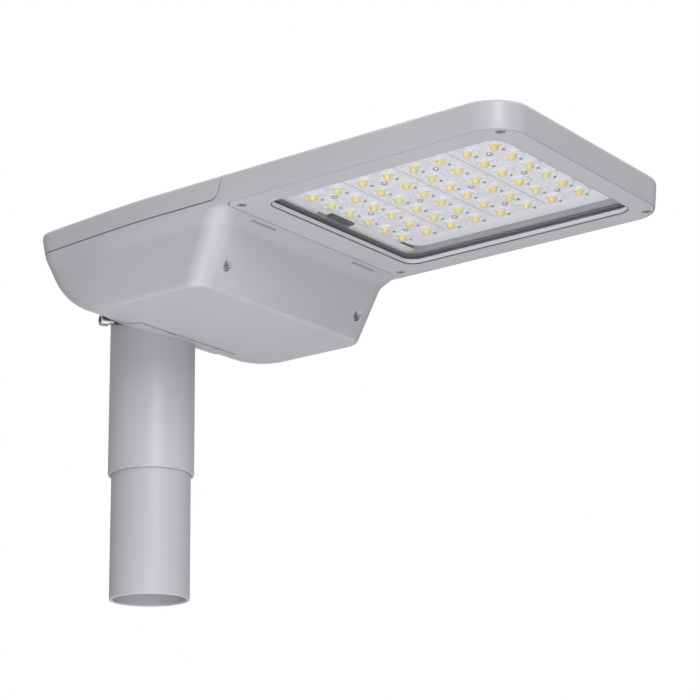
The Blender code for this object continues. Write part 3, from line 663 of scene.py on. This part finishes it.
def view_camera():
    """The camera, turned from azimuth, elevation and roll in degrees."""
    azimuth, elevation, roll = (math.radians(a) for a in (VIEW_AZIMUTH, VIEW_ELEVATION, VIEW_ROLL))
    back = Vector((math.sin(azimuth) * math.cos(elevation), -math.cos(azimuth) * math.cos(elevation),
                   math.sin(elevation)))
    right = (-back).cross(Vector((0, 0, 1))).normalized()
    up = right.cross(-back)
    x_axis = math.cos(roll) * right + math.sin(roll) * up
    y_axis = math.cos(roll) * up - math.sin(roll) * right
    camera = bpy.data.objects.new("camera", bpy.data.cameras.new("camera"))
    camera.data.lens = VIEW_LENS
    camera.data.clip_start = 0.05
    turn = Matrix((x_axis, y_axis, back)).transposed().to_4x4()
    camera.matrix_world = Matrix.Translation(VIEW_PLACE) @ turn
    bpy.context.scene.camera = link(camera)


def softbox(name, place, look_at, size, power):
    light = bpy.data.lights.new(name, "AREA")
    light.shape = "RECTANGLE"
    light.size, light.size_y = size
    light.energy = power
    obj = bpy.data.objects.new(name, light)
    obj.location = place
    obj.rotation_euler = (Vector(look_at) - Vector(place)).to_track_quat("-Z", "Y").to_euler()
    link(obj)


def room():
    """A softly lit room with a white backdrop behind the lamp."""
    world = bpy.data.worlds.new("studio")
    bpy.context.scene.world = world
    world.use_nodes = True
    tree = world.node_tree
    toward = tree.nodes.new("ShaderNodeTexCoord")
    along = tree.nodes.new("ShaderNodeVectorMath")
    along.operation = "DOT_PRODUCT"
    along.inputs[1].default_value = BACKDROP
    edge = tree.nodes.new("ShaderNodeValToRGB")
    edge.color_ramp.interpolation = "EASE"
    edge.color_ramp.elements[0].position = 0.925
    edge.color_ramp.elements[0].color = (*ROOM_WHITE, 1.0)
    edge.color_ramp.elements[1].position = 0.962
    edge.color_ramp.elements[1].color = (1.0, 1.0, 1.0, 1.0)
    tree.links.new(toward.outputs["Generated"], along.inputs[0])
    tree.links.new(along.outputs["Value"], edge.inputs["Fac"])
    tree.links.new(edge.outputs["Color"], tree.nodes["Background"].inputs["Color"])


def studio():
    room()
    middle = (0.22, 0.0, 0.30)
    softbox("key", (2.03, -1.43, 1.20), middle, (0.7, 1.2), 35.0)
    softbox("low_fill", (0.76, -1.02, -0.52), middle, (0.9, 0.9), 8.0)
    softbox("under_fill", (0.36, -0.16, -0.62), middle, (0.7, 0.7), 4.6)
    softbox("overhead", (0.30, 0.30, 2.30), middle, (2.0, 2.0), 60.0)
    bpy.context.scene.view_settings.view_transform = "Standard"
    slab = box((-FLOOR_REACH, -FLOOR_REACH, FLOOR_TOP - 0.01), (FLOOR_REACH, FLOOR_REACH, FLOOR_TOP))
    floor = mesh_object("floor", slab, 0)
    paper = Nodes("pale_floor")
    tone = paper.ramp(paper.noise(3.0), ((0.3, grey(0.64)), (0.7, grey(0.68))))
    floor.data.materials.append(paper.look(Base_Color=tone, Roughness=0.9))


# ------------ housing, cover and frame
FIN_COUNT = 12
FIN_PITCH = 0.0165
GROOVE_WIDTH = 0.0115
GROOVE_FLOOR = 0.3352
LEAD_Y = -0.004
LEAD_SPREAD = 0.0045
LEAD_RADIUS = 0.0011
# X and Z of the bends in the way for the board's leads
DUCT = ((0.2310, 0.3290), (0.2017, 0.3196), (0.1950, 0.3150), (0.1690, 0.3100))


def cover_zone(shift):
    """The space above the seam that the cover fills, moved in from the seam by shift."""
    rise = arc((0.1880, SEAM_Z + 0.0125), 0.0125 - shift, -90, -14, 12)
    front_x = 0.2068 - 3 * shift
    outline = [(-0.08, SEAM_Z + shift), (0.12, SEAM_Z + shift)] + rise
    outline += [(0.2030 - shift, 0.3335), (0.2068 - shift, 0.3395), (front_x, TOP_Z), (front_x, 0.38),
                (-0.08, 0.38)]
    return prism(outline, -0.20, 0.20, "Y")


def compartment():
    """The room in the bowl for the control gear."""
    levels = ((FLOOR_INNER, 0.1130, 0.1550, 0.010), (FLOOR_INNER + 0.003, 0.1180, 0.1600, 0.014),
              (FLOOR_INNER + 0.009, 0.1205, 0.1645, 0.016), (0.2998, 0.1245, 0.1765, 0.018),
              (ABOVE, 0.1265, 0.1795, 0.018))
    outlines = []
    for z, half, front_x, radius in levels:
        outline = rounded_rectangle(PARTITION_FRONT_X, front_x, half, radius)
        outlines.append([(x, y, z) for x, y in outline])
    return loft(outlines)


def side_pocket(side):
    """Access to a tilt bolt, between the lug and the outer wall."""
    outline = [(-0.020, LUG_OUTER), (0.0630, LUG_OUTER), (0.0630, 0.118), (0.030, 0.1165),
               (-0.010, 0.109), (-0.020, 0.100)]
    foot = [(max(x, 0.010), side * (y - (0.006 if y > 0.09 else 0.0)), 0.262) for x, y in outline]
    return loft([foot] + [[(x, side * y, z) for x, y in outline] for z in (0.2965, ABOVE)])


def duct_piece(start, end, y):
    """One straight length of the narrow way for a board lead, in X and Z."""
    along = (Vector(end) - Vector(start)).normalized() * 0.0008
    low, high = Vector(start) - along, Vector(end) + along
    return rod((low.x, y, low.y), (high.x, y, high.y), 2 * LEAD_RADIUS, 16)


def fin_groove(y):
    """One groove between two cooling fins, with round ends."""
    half = GROOVE_WIDTH / 2
    front = arc((0.462 - half, y), half, -90, 90, 10)
    rear = arc((0.240 + half, y), half, 90, 270, 10)
    return prism(front + rear, GROOVE_FLOOR, 0.36)


def housing_cutters():
    """Everything cut out of the housing: rooms, window, fins, holes and ways for wires."""
    cutters = [cover_zone(0.0), compartment(),
               box((-0.08, -NOTCH_HALF, BELOW), (NOTCH_FRONT_X, NOTCH_HALF, ABOVE)),
               box((0.0, -NOTCH_HALF, FLOOR_INNER), (PARTITION_REAR_X, NOTCH_HALF, ABOVE)),
               prism(frame_outline(FRAME_INSET - 0.0006), 0.30, RIM_HIGH.z + 0.0003),
               prism(window_outline(0.0065), 0.30, 0.3236),
               prism(window_outline(0.0015), 0.30, CAVITY_TOP)]
    for i in range(FIN_COUNT):
        cutters.append(fin_groove((i - (FIN_COUNT - 1) / 2) * FIN_PITCH))
    for side in (-1, 1):
        hinge_y = side * HINGE_Y
        screw_y = side * WALL_SCREW_Y
        cutters += [side_pocket(side),
                    rod_y(0, PIVOT_Z, side * 0.065, side * 0.080, TILT_BOLT_HOLE),
                    box((0.200, hinge_y - 0.0095, 0.3330), (0.2172, hinge_y + 0.0095, 0.36)),
                    rod_y(HINGE_X, HINGE_Z, hinge_y - 0.0135, hinge_y + 0.0135, HINGE_PIN_HOLE),
                    rod_x(0.150, 0.19, screw_y, WALL_SCREW_Z, SCREW_HOLE),
                    rod_x(WALL_SCREW_SEAT, 0.19, screw_y, WALL_SCREW_Z, 0.0052)]
        for x in SCREW_X:
            cutters.append(rod_z(x, side * SCREW_Y, 0.310, 0.3300, SCREW_HOLE))
    for lead in (-1, 1):
        for start, end in zip(DUCT, DUCT[1:]):
            cutters.append(duct_piece(start, end, LEAD_Y + lead * LEAD_SPREAD))
    cutters.append(rod_x(0.060, 0.080, 0.0, GLAND_Z, GLAND_HOLE))
    cutters.append(rod_x(0.060, 0.080, VENT_Y, VENT_Z, 0.0053))
    return cutters


def make_housing():
    """The housing's casting, with a ledge for each latch and two ribs on the bowl's neck."""
    housing = mesh_object("housing_casting", head_shape())
    cut(housing, housing_cutters())
    extras = []
    for side in (-1, 1):
        y = side * LATCH_Y
        extras.append(box((-0.0390, y - 0.009, 0.3085), (-0.0300, y + 0.009, 0.3125)))
        low, high = sorted((side * 0.058, side * 0.092))
        extras.append(box((0.1994, low, 0.3068), (0.2008, high, 0.3110)))
    combine(housing, "UNION", extras)
    swap(housing, "main_housing", PAINT)


def cover_room():
    """The hollow inside the cover."""
    front_x = 0.1985
    levels = []
    for z, inset in ((0.3385, 0.016), (0.3360, 0.0060), (0.3330, 0.0034), (0.300, 0.0042)):
        outline = [(min(x, front_x), y, z) for x, y, _ in rear_ring(z, inset)]
        levels.append(outline + [(front_x, HALF_WIDTH - inset, z), (front_x, inset - HALF_WIDTH, z)])
    return loft(levels)


def latch_bore(side):
    return rod_y(LATCH_X, LATCH_Z, side * LATCH_Y - 0.02, side * LATCH_Y + 0.02, LATCH_PIN_HOLE)


def make_cover():
    """The top cover, with leaves for the hinge pins and ears for the latch pins."""
    bm, rim = slab_shape(COVER_FOOT)
    bm.faces.new(rim)
    cover = mesh_object("cover_casting", bm)
    combine(cover, "INTERSECT", [cover_zone(0.0011)])
    cut(cover, [cover_room()])
    ears = []
    bores = []
    for side in (-1, 1):
        low, high = side * HINGE_Y - 0.009, side * HINGE_Y + 0.009
        ears.append(box((0.1940, low, 0.3366), (HINGE_X, high, 0.3404)))
        ears.append(rod_y(HINGE_X, HINGE_Z, low, high, 0.0034))
        bores.append(rod_y(HINGE_X, HINGE_Z, low - 0.01, high + 0.01, HINGE_PIN_HOLE))
        for edge in (-1, 1):
            y = side * LATCH_Y + edge * (LATCH_HALF + 0.0018)
            ears.append(box((LATCH_X - 0.0028, y - 0.0014, 0.3235), (-0.0360, y + 0.0014, 0.3295)))
        bores.append(latch_bore(side))
    combine(cover, "UNION", ears)
    cut(cover, bores)
    swap(cover, "top_cover", PAINT, "cover")


def make_frame():
    """The window frame, with its bevelled opening and sunk screw holes."""
    rim = mesh_object("window_frame", prism(frame_outline(FRAME_INSET), UNDERSIDE, RIM_HIGH.z))
    levels = []
    for z, grow in ((UNDERSIDE - 0.01, 0.0), (UNDERSIDE + 0.0015, 0.0), (RIM_HIGH.z + 0.01, -0.0012)):
        levels.append([(x, y, z) for x, y in window_outline(grow)])
    cutters = [loft(levels)]
    for side in (-1, 1):
        for x in SCREW_X:
            cutters.append(rod_z(x, side * SCREW_Y, 0.30, 0.33, SCREW_HOLE))
            cutters.append(rod_z(x, side * SCREW_Y, 0.30, UNDERSIDE + 0.0024, 0.0043))
    cut(rim, cutters)
    swap(rim, "glass_frame", PAINT)


# ------------ post, adapter and screws
POST_WALL = 0.0035
SLEEVE_FOOT = SLEEVE_LOW.z
CLAMP_ANGLE = 117.0
CLAMP_Z = 0.270


def make_pole():
    bore = POST_RADIUS - POST_WALL
    edge = 0.0006
    profile = [(bore, POST_HIGH.z), (bore, edge), (bore + edge, 0.0), (POST_RADIUS - edge, 0.0),
               (POST_RADIUS, edge), (POST_RADIUS, POST_HIGH.z - edge), (POST_RADIUS - edge, POST_HIGH.z),
               (bore, POST_HIGH.z)]
    pole = piece("post_tube", turned(profile, Matrix(), 128), POST_PAINT, "post")
    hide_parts("pole_section")


def knuckle_profile():
    """Side view of the adapter's knuckle: a drum, its arched floor and its rising apron."""
    corner = (NOTCH_FRONT_X - 0.0017, FLOOR_Z + 0.0001)
    drop = PIVOT_Z - FLOOR_INNER - 0.0010
    apron = math.hypot(corner[0], drop)
    rise = -math.degrees(math.asin(drop / apron))
    floor = arc((REAR_ARC_X, REAR_ARC_Z), REAR_ARC_RADIUS - 0.0001, 200.4, 265, 40)
    outer = arc((0, PIVOT_Z), apron, rise, -22.0, 12)
    inner = arc((0, PIVOT_Z), apron - 0.003, -22.0, rise + 3.0, 10)
    drum = arc((0, PIVOT_Z), DRUM_RADIUS, -40.0, 155.0, 56)
    return floor + [corner] + outer + inner + [(0.034, 0.2560)] + drum


def clamp_point(side, radius):
    angle = math.radians(side * CLAMP_ANGLE)
    return (radius * math.cos(angle), radius * math.sin(angle), CLAMP_Z)


def make_adapter():
    """The sleeve with the drum that the head turns on, its wire way, tick mark and notch."""
    adapter = mesh_object("adapter_casting", prism(knuckle_profile(), -DRUM_HALF, DRUM_HALF, "Y"))
    top = PIVOT_Z - 0.008
    edge = 0.0008
    sleeve = [(0, top), (SLEEVE_RADIUS, top), (SLEEVE_RADIUS, SLEEVE_FOOT + edge),
              (SLEEVE_RADIUS - edge * 0.3, SLEEVE_FOOT + edge * 0.3), (SLEEVE_RADIUS - edge, SLEEVE_FOOT),
              (0, SLEEVE_FOOT)]
    combine(adapter, "UNION", [turned(sleeve, Matrix(), 128)])
    cutters = [rod_z(0, 0, SLEEVE_FOOT - 0.01, POST_HIGH.z + 0.001, POST_RADIUS + 0.0004, 128),
               rod_y(0, PIVOT_Z, -0.060, 0.060, 0.031, 64),
               box((0.020, -0.016, 0.288), (0.045, 0.016, 0.308)),
               box((0.034, 0.0432, 0.240), (0.0475, 0.0450, FLOOR_Z + 0.0030)),
               box((0.0432, -0.0285, 0.240), (0.0475, -0.0170, FLOOR_Z + 0.0120))]
    for side in (-1, 1):
        cutters.append(rod_y(0, PIVOT_Z, side * 0.05, side * 0.08, TILT_BOLT_HOLE))
        cutters.append(rod(clamp_point(side, 0.030), clamp_point(side, 0.060), 0.0043))
    cut(adapter, cutters)
    swap(adapter, "spigot_adapter", PAINT, "post", 25)


def star(radius, points, waist):
    """A hexagon (waist 1) or a lobed outline."""
    outline = []
    for i in range(2 * points):
        angle = math.pi * i / points
        reach = radius if i % 2 == 0 else radius * waist
        outline.append((reach * math.cos(angle), reach * math.sin(angle)))
    return outline


def screw(node, profile, origin, direction, body, recess, depth, lobes=False, material=STEEL):
    """A turned screw with a hexagonal or lobed recess in its head, in place of one CAD screw."""
    obj = mesh_object(node + "_turned", turned(profile, Matrix(), 40))
    top = max(height for _, height in profile)
    outline = star(recess, 6, 0.72) if lobes else star(recess, 3, 1.0)
    cut(obj, [prism(outline, top - depth, top + 0.01)])
    obj.data.transform(pointing(origin, direction))
    swap(obj, node, material, body)


def capped(head, height, shank, length):
    """Profile of a low domed screw; heights are measured from its seat."""
    return [(0, height), (head * 0.62, height), (head * 0.84, height * 0.86), (head * 0.96, height * 0.55),
            (head, height * 0.2), (head, 0.0), (shank, 0.0), (shank, -length), (0, -length)]


def make_screws():
    clamp = [(0, 0.0165), (0.0046, 0.0165), (0.0055, 0.0161), (0.0060, 0.0153), (0.0060, 0.0085),
             (0.0039, 0.0085), (0.0039, 0.0), (0, 0.0)]
    bolt = [(0, 0.0065), (0.0072, 0.0065), (0.0081, 0.0061), (0.0085, 0.0053), (0.0085, 0.0),
            (0.0050, 0.0), (0.0050, -0.0195), (0, -0.0195)]
    wall = capped(0.0046, 0.0020, 0.0020, 0.0190)
    for side, name in ((-1, "right"), (1, "left")):
        start = clamp_point(side, POST_RADIUS + 0.0003)
        outward = Vector(clamp_point(side, 1.0)) - Vector(clamp_point(side, 0.0))
        screw("clamp_screw_" + name, clamp, start, outward, "post", 0.0033, 0.004)
        seat = (0, side * (LUG_OUTER + 0.0018), PIVOT_Z)
        screw("tilt_bolt_" + name, bolt, seat, (0, side, 0), "post", 0.0046, 0.0040)
        seat = (WALL_SCREW_SEAT + 0.0003, side * WALL_SCREW_Y, WALL_SCREW_Z)
        screw("wall_screw_" + name, wall, seat, (1, 0, 0), "head", 0.0024, 0.0014, True, DARK_STEEL)
    places = [(x, side * SCREW_Y, UNDERSIDE + 0.0021) for x in SCREW_X for side in (-1, 1)]
    for number, seat in enumerate(places, 1):
        screw(f"frame_screw_{number}", capped(0.0038, 0.0018, 0.0020, 0.0140), seat, (0, 0, -1), "head",
              0.0021, 0.0014, True)


# ------------ light unit
DOME_RADIUS = 0.0047
DOME_TIP = 0.3210
DOME_BASE = 0.3262
LENS_TOP = 0.3278


def led_places(columns):
    for column in columns:
        for row in range(LED_ROWS):
            yield (LED_X + (column - (LED_COLUMNS - 1) / 2) * PITCH, (row - (LED_ROWS - 1) / 2) * PITCH)


def dome_profile(radius, tip, base):
    """A rounded dome that hangs down, as (radius, height) from its base to its tip."""
    points = [(0, base + 0.0004), (radius, base + 0.0004)]
    for i in range(9):
        angle = math.radians(90 * i / 8)
        points.append((radius * math.cos(angle), base + (tip - base) * math.sin(angle)))
    return points[:-1] + [(0, tip)]


def lens_collar(x, y):
    """The raised oval foot of one lens round its dome."""
    ring = [(0.0112, DOME_BASE), (0.0108, DOME_BASE - 0.0009), (0.0098, DOME_BASE - 0.0013),
            (0.0080, DOME_BASE - 0.0012), (0.0062, DOME_BASE - 0.0007), (0.0050, DOME_BASE)]
    collar = turned(ring + [ring[0]], Matrix.Translation((x, y, 0)))
    bmesh.ops.scale(collar, vec=(1.0, 0.84, 1.0), space=Matrix.Translation((-x, -y, 0)), verts=collar.verts)
    return collar


def lens_screw(x, y):
    """A small pan-head screw that holds a lens sheet to the board."""
    top = DOME_BASE
    profile = [(0, top - 0.0016), (0.0019, top - 0.0016), (0.0027, top - 0.0010), (0.0029, top), (0, top)]
    return turned(profile[::-1], Matrix.Translation((x, y, 0)), 20)


def make_optics():
    """Four lens sheets, each with two columns of LEDs, and the small parts that show through them."""
    phosphor_and_highlight = phosphor(DOME_TIP, DOME_BASE)
    dome = dome_profile(DOME_RADIUS, DOME_TIP, DOME_BASE)
    for plate in range(LED_COLUMNS // 2):
        number = plate + 1
        middle = LED_X + (plate - (LED_COLUMNS / 2 - 1) / 2) * 2 * PITCH
        half = PITCH - 0.0004
        outline = rounded_rectangle(middle - half, middle + half, LED_ROWS / 2 * PITCH, 0.003, 4)
        sheet = [prism(outline, DOME_BASE, LENS_TOP)]
        glow = []
        dots = []
        for x, y in led_places((2 * plate, 2 * plate + 1)):
            sheet.append(lens_collar(x, y))
            glow.append(turned(dome, Matrix.Translation((x, y, 0)), 28))
            dots.append(rod_z(x + 0.0012, y + PITCH / 2 - 0.0012, DOME_BASE - 0.0009, DOME_BASE + 0.0002,
                              0.0014, 16))
        screws = [lens_screw(middle, row * PITCH) for row in (-2, 0, 2)]
        lens = piece(f"lens_sheet_{number}", merged(sheet), LENS)
        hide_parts(f"lens_plate_{number}")
        piece(f"led_domes_{number}", merged(glow), phosphor_and_highlight, angle=60)
        piece(f"led_parts_{number}", merged(dots), BOARD_PART)
        piece(f"lens_screws_{number}", merged(screws), STEEL)


def ring_between(outer, inner, low, high):
    """A flat ring from two outlines with the same number of points."""
    bm = bmesh.new()
    loops = []
    for outline, z in ((outer, low), (outer, high), (inner, high), (inner, low)):
        loops.append([bm.verts.new((x, y, z)) for x, y in outline])
    for a, b in zip(loops, loops[1:] + loops[:1]):
        skin(bm, a, b)
    return bm


CONNECTOR_HALF = 0.016


def make_window_trim():
    """A dark strip on the window's edge that paints a shadow line, a pale bead there whose colour paints a
    highlight on the lip, the gasket, and the white lining behind.
    """
    # a thin dark strip low on the frame's inner wall: a painted shadow line at the edge of the opening
    edge = window_outline(-0.0001)
    shadow_line = ring_between(edge, window_outline(-0.0008), UNDERSIDE + 0.0002, UNDERSIDE + 0.0010)
    piece("window_shadow_line", shadow_line, GREY_RUBBER_AND_SHADE)
    # a pale bead lining the frame's inner wall, coloured light to paint in the light falling on the
    # window's lip
    lip_highlight = ring_between(edge, window_outline(-0.0011), UNDERSIDE + 0.0011, GLASS_LOW.z - 0.0001)
    piece("window_bead_highlight", lip_highlight, PALE_BEAD_AND_HIGHLIGHT)
    gasket = ring_between(window_outline(0.0058), window_outline(0.0020), GLASS_HIGH.z + 0.0003, 0.3233)
    swap(mesh_object("glass_gasket_ring", gasket), "glass_gasket", GREY_RUBBER_AND_SHADE,
         angle=SMOOTH_ANGLE)
    rear_x = WINDOW_REAR_X - 0.0012
    outline = [(rear_x, 0.3238), (rear_x, 0.3244), (0.2372, 0.3270), (0.2378, 0.3266)]
    reflector = mesh_object("rear_reflector", prism(outline, -0.1095, 0.1095, "Y"))
    gap = box((0.22, LEAD_Y - CONNECTOR_HALF - 0.016, 0.31), (0.25, LEAD_Y + CONNECTOR_HALF + 0.001, 0.34))
    cut(reflector, [gap])
    shade(reflector)
    dress(reflector, PALE_BEAD_AND_HIGHLIGHT)


def make_connector():
    """The board's connector, with a row of six ports."""
    low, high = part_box("board_connector")
    ports = []
    for i in range(6):
        y = LEAD_Y - 0.0125 + i * 0.005
        ports.append(box((low.x + 0.0016, y - 0.0013, 0.3230), (high.x - 0.0016, y + 0.0013, 0.3252)))
    moulding("connector_body", "board_connector", 0.0006, ports, BLACK)


# ------------ control gear
TRAY_LOW = FLOOR_INNER + 0.0035
TRAY_HIGH = TRAY_LOW + 0.0015
TRAY_FRONT_X = 0.1590
MAINS_RADIUS = 0.0014


def make_tray():
    """The gear's steel plate, with slots, and two tabs that the wall screws hold."""
    tray = mesh_object("gear_plate", box((0.0785, -0.108, TRAY_LOW), (TRAY_FRONT_X, 0.108, TRAY_HIGH)))
    tabs = []
    cuts = []
    for side in (-1, 1):
        y = side * WALL_SCREW_Y
        tabs.append(box((0.1570, y - 0.008, TRAY_LOW), (TRAY_FRONT_X, y + 0.008, WALL_SCREW_Z + 0.007)))
        cuts.append(rod_x(0.15, 0.17, y, WALL_SCREW_Z, SCREW_HOLE))
    for x, y in ((0.1045, -0.100), (0.1045, 0.060), (0.153, -0.100), (0.153, 0.060), (0.0835, 0.038)):
        slot = rounded_rectangle(x - 0.0035, x + 0.0035, 0.0018, 0.0017, 4)
        cuts.append(prism([(a, b + y) for a, b in slot], BELOW, 0.3))
    combine(tray, "UNION", tabs)
    cut(tray, cuts)
    swap(tray, "gear_tray", STEEL, angle=SMOOTH_ANGLE)


def make_driver():
    low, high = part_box("led_driver")
    cuts = [box((0.112, -0.100, 0.286), (0.151, -0.086, 0.300))]
    for y in (-0.0835, 0.0475):
        cuts.append(seam_band((low.x - 0.001, y - 0.0002, low.z - 0.001),
                              (high.x + 0.001, y + 0.0002, high.z + 0.001), 0.00142))
    for i in range(9):
        y = -0.020 + i * 0.0066
        cuts.append(box((0.1130, y - 0.0010, 0.2953), (0.1280, y + 0.0010, 0.2970)))
    moulding("driver_case", "led_driver", 0.0016, cuts, CASE_GREY)
    plate = rounded_rectangle(0.1330, 0.1510, 0.033, 0.002, 4)
    label = prism([(x, y - 0.018) for x, y in plate], high.z + 0.00002, high.z + 0.00012)
    piece("driver_blank_label", label, WHITE)
    buttons = []
    for i in range(6):
        x = 0.1150 + i * 0.0064
        buttons.append(soft_box((x, -0.0875, 0.2862), (x + 0.0048, -0.0861, 0.2920), 0.0004, 1))
    piece("driver_push_buttons", merged(buttons), BLACK)


def seam_band(low, high, depth):
    """A thin band round the driver's casing, that scores a seam line into it."""
    core_low = (low[0] + depth, low[1] - 0.001, low[2] + depth)
    core_high = (high[0] - depth, high[1] + 0.001, high[2] - depth)
    band = mesh_object("band", box(low, high))
    cut(band, [box(core_low, core_high)])
    out = bmesh.new()
    out.from_mesh(band.data)
    bpy.data.objects.remove(band, do_unlink=True)
    return out


def make_terminal_block():
    cuts = []
    heads = []
    head_x, head_radius = 0.0872, 0.0023
    outline = [(x * head_radius + head_x, y * head_radius) for x, y in star(1.0, 12, 1.0)]
    for i in range(5):
        y = -0.024 + i * 0.0125
        cuts.append(rod_z(0.0960, y, 0.2740, 0.2900, 0.0028, 24))
        cuts.append(rod_z(head_x, y, 0.2765, 0.2900, 0.0026, 24))
        cuts.append(box((0.0790, y + 0.0060, 0.2700), (0.1030, y + 0.0065, 0.2900)))
        heads.append(prism([(x, across + y) for x, across in outline], 0.2763, 0.2778))
    moulding("terminal_body", "terminal_block", 0.0010, cuts, WHITE)
    piece("terminal_screws", merged(heads), STEEL)


def make_small_gear():
    """The surge protector, the disconnector's two halves and the supply cable's clamp."""
    window = box((0.0870, 0.060, 0.2872), (0.0960, 0.080, 0.2890))
    moulding("surge_case", "surge_protector", 0.0012, [window], BLACK)
    piece("surge_window", soft_box((0.0875, 0.0605, 0.2868), (0.0955, 0.0795, 0.2877), 0.0002, 1),
          WHITE)
    grooves = []
    for i in range(7):
        y = 0.0660 + i * 0.0052
        grooves.append(box((0.1110, y, 0.2700), (0.1124, y + 0.0022, 0.2900)))
    moulding("socket_case", "disconnector_socket", 0.0012, grooves, BLACK)
    grip = box((0.1125, 0.0735, 0.315), (0.1495, 0.0945, 0.330))
    moulding("plug_case", "disconnector_plug", 0.0010, [grip], WHITE, "cover")
    way = rod_x(0.070, 0.105, -0.055, 0.2650, 0.0040)
    moulding("clamp_case", "cable_clamp", 0.0010, [way], BLACK)
    for number, y in ((1, -0.0660), (2, -0.0440)):
        screw(f"cable_clamp_screw_{number}", capped(0.0026, 0.0018, 0.0013, 0.0001), (0.0875, y, 0.2703),
              (0, 0, 1), "head", 0.0014, 0.0010)


def make_gland_and_vent():
    """The supply cable's gland with its nut, and the pressure vent, all on the partition."""
    profile = [(0.0045, 0.0115), (0.0062, 0.0118), (0.0075, 0.0110), (0.0092, 0.0090), (0.0105, 0.0060),
               (0.0108, 0.0008), (0.0120, 0.0), (0.0120, -0.0040), (0.0080, -0.0040), (0.0080, -0.0150),
               (0.0045, -0.0150), (0.0045, 0.0115)]
    gland = mesh_object("gland_body", turned(profile, Matrix(), 48))
    grips = []
    for i in range(12):
        grip = box((0.0100, -0.0006, 0.0010), (0.0120, 0.0006, 0.0075))
        bmesh.ops.rotate(grip, matrix=Matrix.Rotation(2 * math.pi * i / 12, 3, "Z"), verts=grip.verts)
        grips.append(grip)
    cut(gland, grips)
    gland.data.transform(pointing((PARTITION_REAR_X - 0.0043, 0, GLAND_Z), REARWARD))
    nut = mesh_object("gland_locknut", rod_x(0.0757, 0.0797, 0, GLAND_Z, 0.0125, 6))
    cut(nut, [rod_x(0.070, 0.085, 0, GLAND_Z, GLAND_HOLE, 40)])
    cap = [(0, 0.0045), (0.0045, 0.0044), (0.0064, 0.0038), (0.0075, 0.0020), (0.0075, 0.0), (0.0050, 0.0),
           (0.0050, -0.0080), (0, -0.0080)]
    placing = pointing((PARTITION_REAR_X - 0.0003, VENT_Y, VENT_Z), REARWARD)
    vent = mesh_object("vent_cap", turned(cap, placing, 40))
    for obj, node in ((gland, "cable_gland"), (nut, "gland_nut"), (vent, "breather_vent")):
        swap(obj, node, BLACK)


def tube(name, points, radius):
    """A round wire along a smooth run of points."""
    curve = bpy.data.curves.new(name, "CURVE")
    curve.dimensions = "3D"
    curve.bevel_depth = radius
    curve.bevel_resolution = 4
    curve.use_fill_caps = True
    spline = curve.splines.new("POLY")
    spline.points.add(len(points) - 1)
    for point, at in zip(spline.points, points):
        point.co = (*at, 1.0)
    holder = link(bpy.data.objects.new(name + "_run", curve))
    mesh = bpy.data.meshes.new_from_object(holder.evaluated_get(bpy.context.evaluated_depsgraph_get()))
    bpy.data.objects.remove(holder, do_unlink=True)
    return link(bpy.data.objects.new(name, mesh))


def make_wires():
    """The board's two leads through the duct, and the two mains leads to the driver."""
    wires = []
    for side, node, material in ((-1, "led_lead_black", DARK_WIRE), (1, "led_lead_red", RED)):
        y = LEAD_Y + side * LEAD_SPREAD
        route = ((0.2303, 0.3286), (0.2240, 0.3266)) + DUCT[1:]
        route += ((0.1600, 0.3080), (0.1480, 0.3060), (0.1415, 0.3030), (0.1405, 0.2996), (0.1405, 0.2966))
        wires.append((node, [(x, y, z) for x, z in route], LEAD_RADIUS, material))
    for node, start_y, end_y, material in (("mains_lead_brown", -0.018, -0.070, BROWN),
                                           ("mains_lead_blue", -0.006, -0.060, BLUE)):
        knots = ((0.0960, start_y, 0.2803), (0.0970, start_y - 0.002, 0.2920),
                 (0.1040, start_y - 0.012, 0.3020), (0.1180, (start_y + end_y) / 2, 0.3060),
                 (0.1310, end_y, 0.3050), (0.1335, end_y, 0.3000), (0.1335, end_y, 0.2966))
        wires.append((node, smooth_run(knots, 8), MAINS_RADIUS, material))
    for node, run, radius, material in wires:
        swap(tube(node + "_tube", run, radius), node, material, angle=60)


def make_latches():
    """Spring-steel latches on the cover's rear edge; their noses hook under the housing's ledges."""
    plate = [(-0.0453, 0.3284), (-0.0451, 0.3286), (-0.0418, 0.3286), (-0.0416, 0.3284), (-0.0416, 0.3094),
             (-0.0412, 0.3085), (-0.0402, 0.3080), (-0.0372, 0.3080), (-0.0372, 0.3064), (-0.0420, 0.3064),
             (-0.0431, 0.3068), (-0.0437, 0.3078), (-0.0437, 0.3243), (-0.0453, 0.3250)]
    for side, name in ((-1, "right"), (1, "left")):
        y = side * LATCH_Y
        latch = mesh_object("latch_plate_" + name, prism(plate, y - LATCH_HALF, y + LATCH_HALF, "Y"))
        window = box((-0.05, y - 0.0050, 0.3130), (-0.04, y + 0.0050, 0.3190))
        cut(latch, [latch_bore(side), window])
        swap(latch, "latch_" + name, STEEL, "latch_" + name)


view_camera()
studio()
make_pole()
make_adapter()
make_screws()
make_housing()
make_cover()
make_latches()
make_frame()
make_window_trim()
make_connector()
make_optics()
make_tray()
make_driver()
make_terminal_block()
make_small_gear()
make_gland_and_vent()
make_wires()


def finish_nodes():
    """Gives each CAD piece that is shown as it is the material of its slot."""
    looks = {"stainless": STEEL, "glass": GLASS, "board": BOARD, "silicone": RUBBER, "white_plastic": WHITE}
    for entry in frame["record"]["subparts"]:
        if entry["material_slot"] in looks:
            mesh = frame["nodes"][entry["node"]].data
            mesh.materials.clear()
            mesh.materials.append(looks[entry["material_slot"]])
            smooth(mesh, SMOOTH_ANGLE)


finish_nodes()
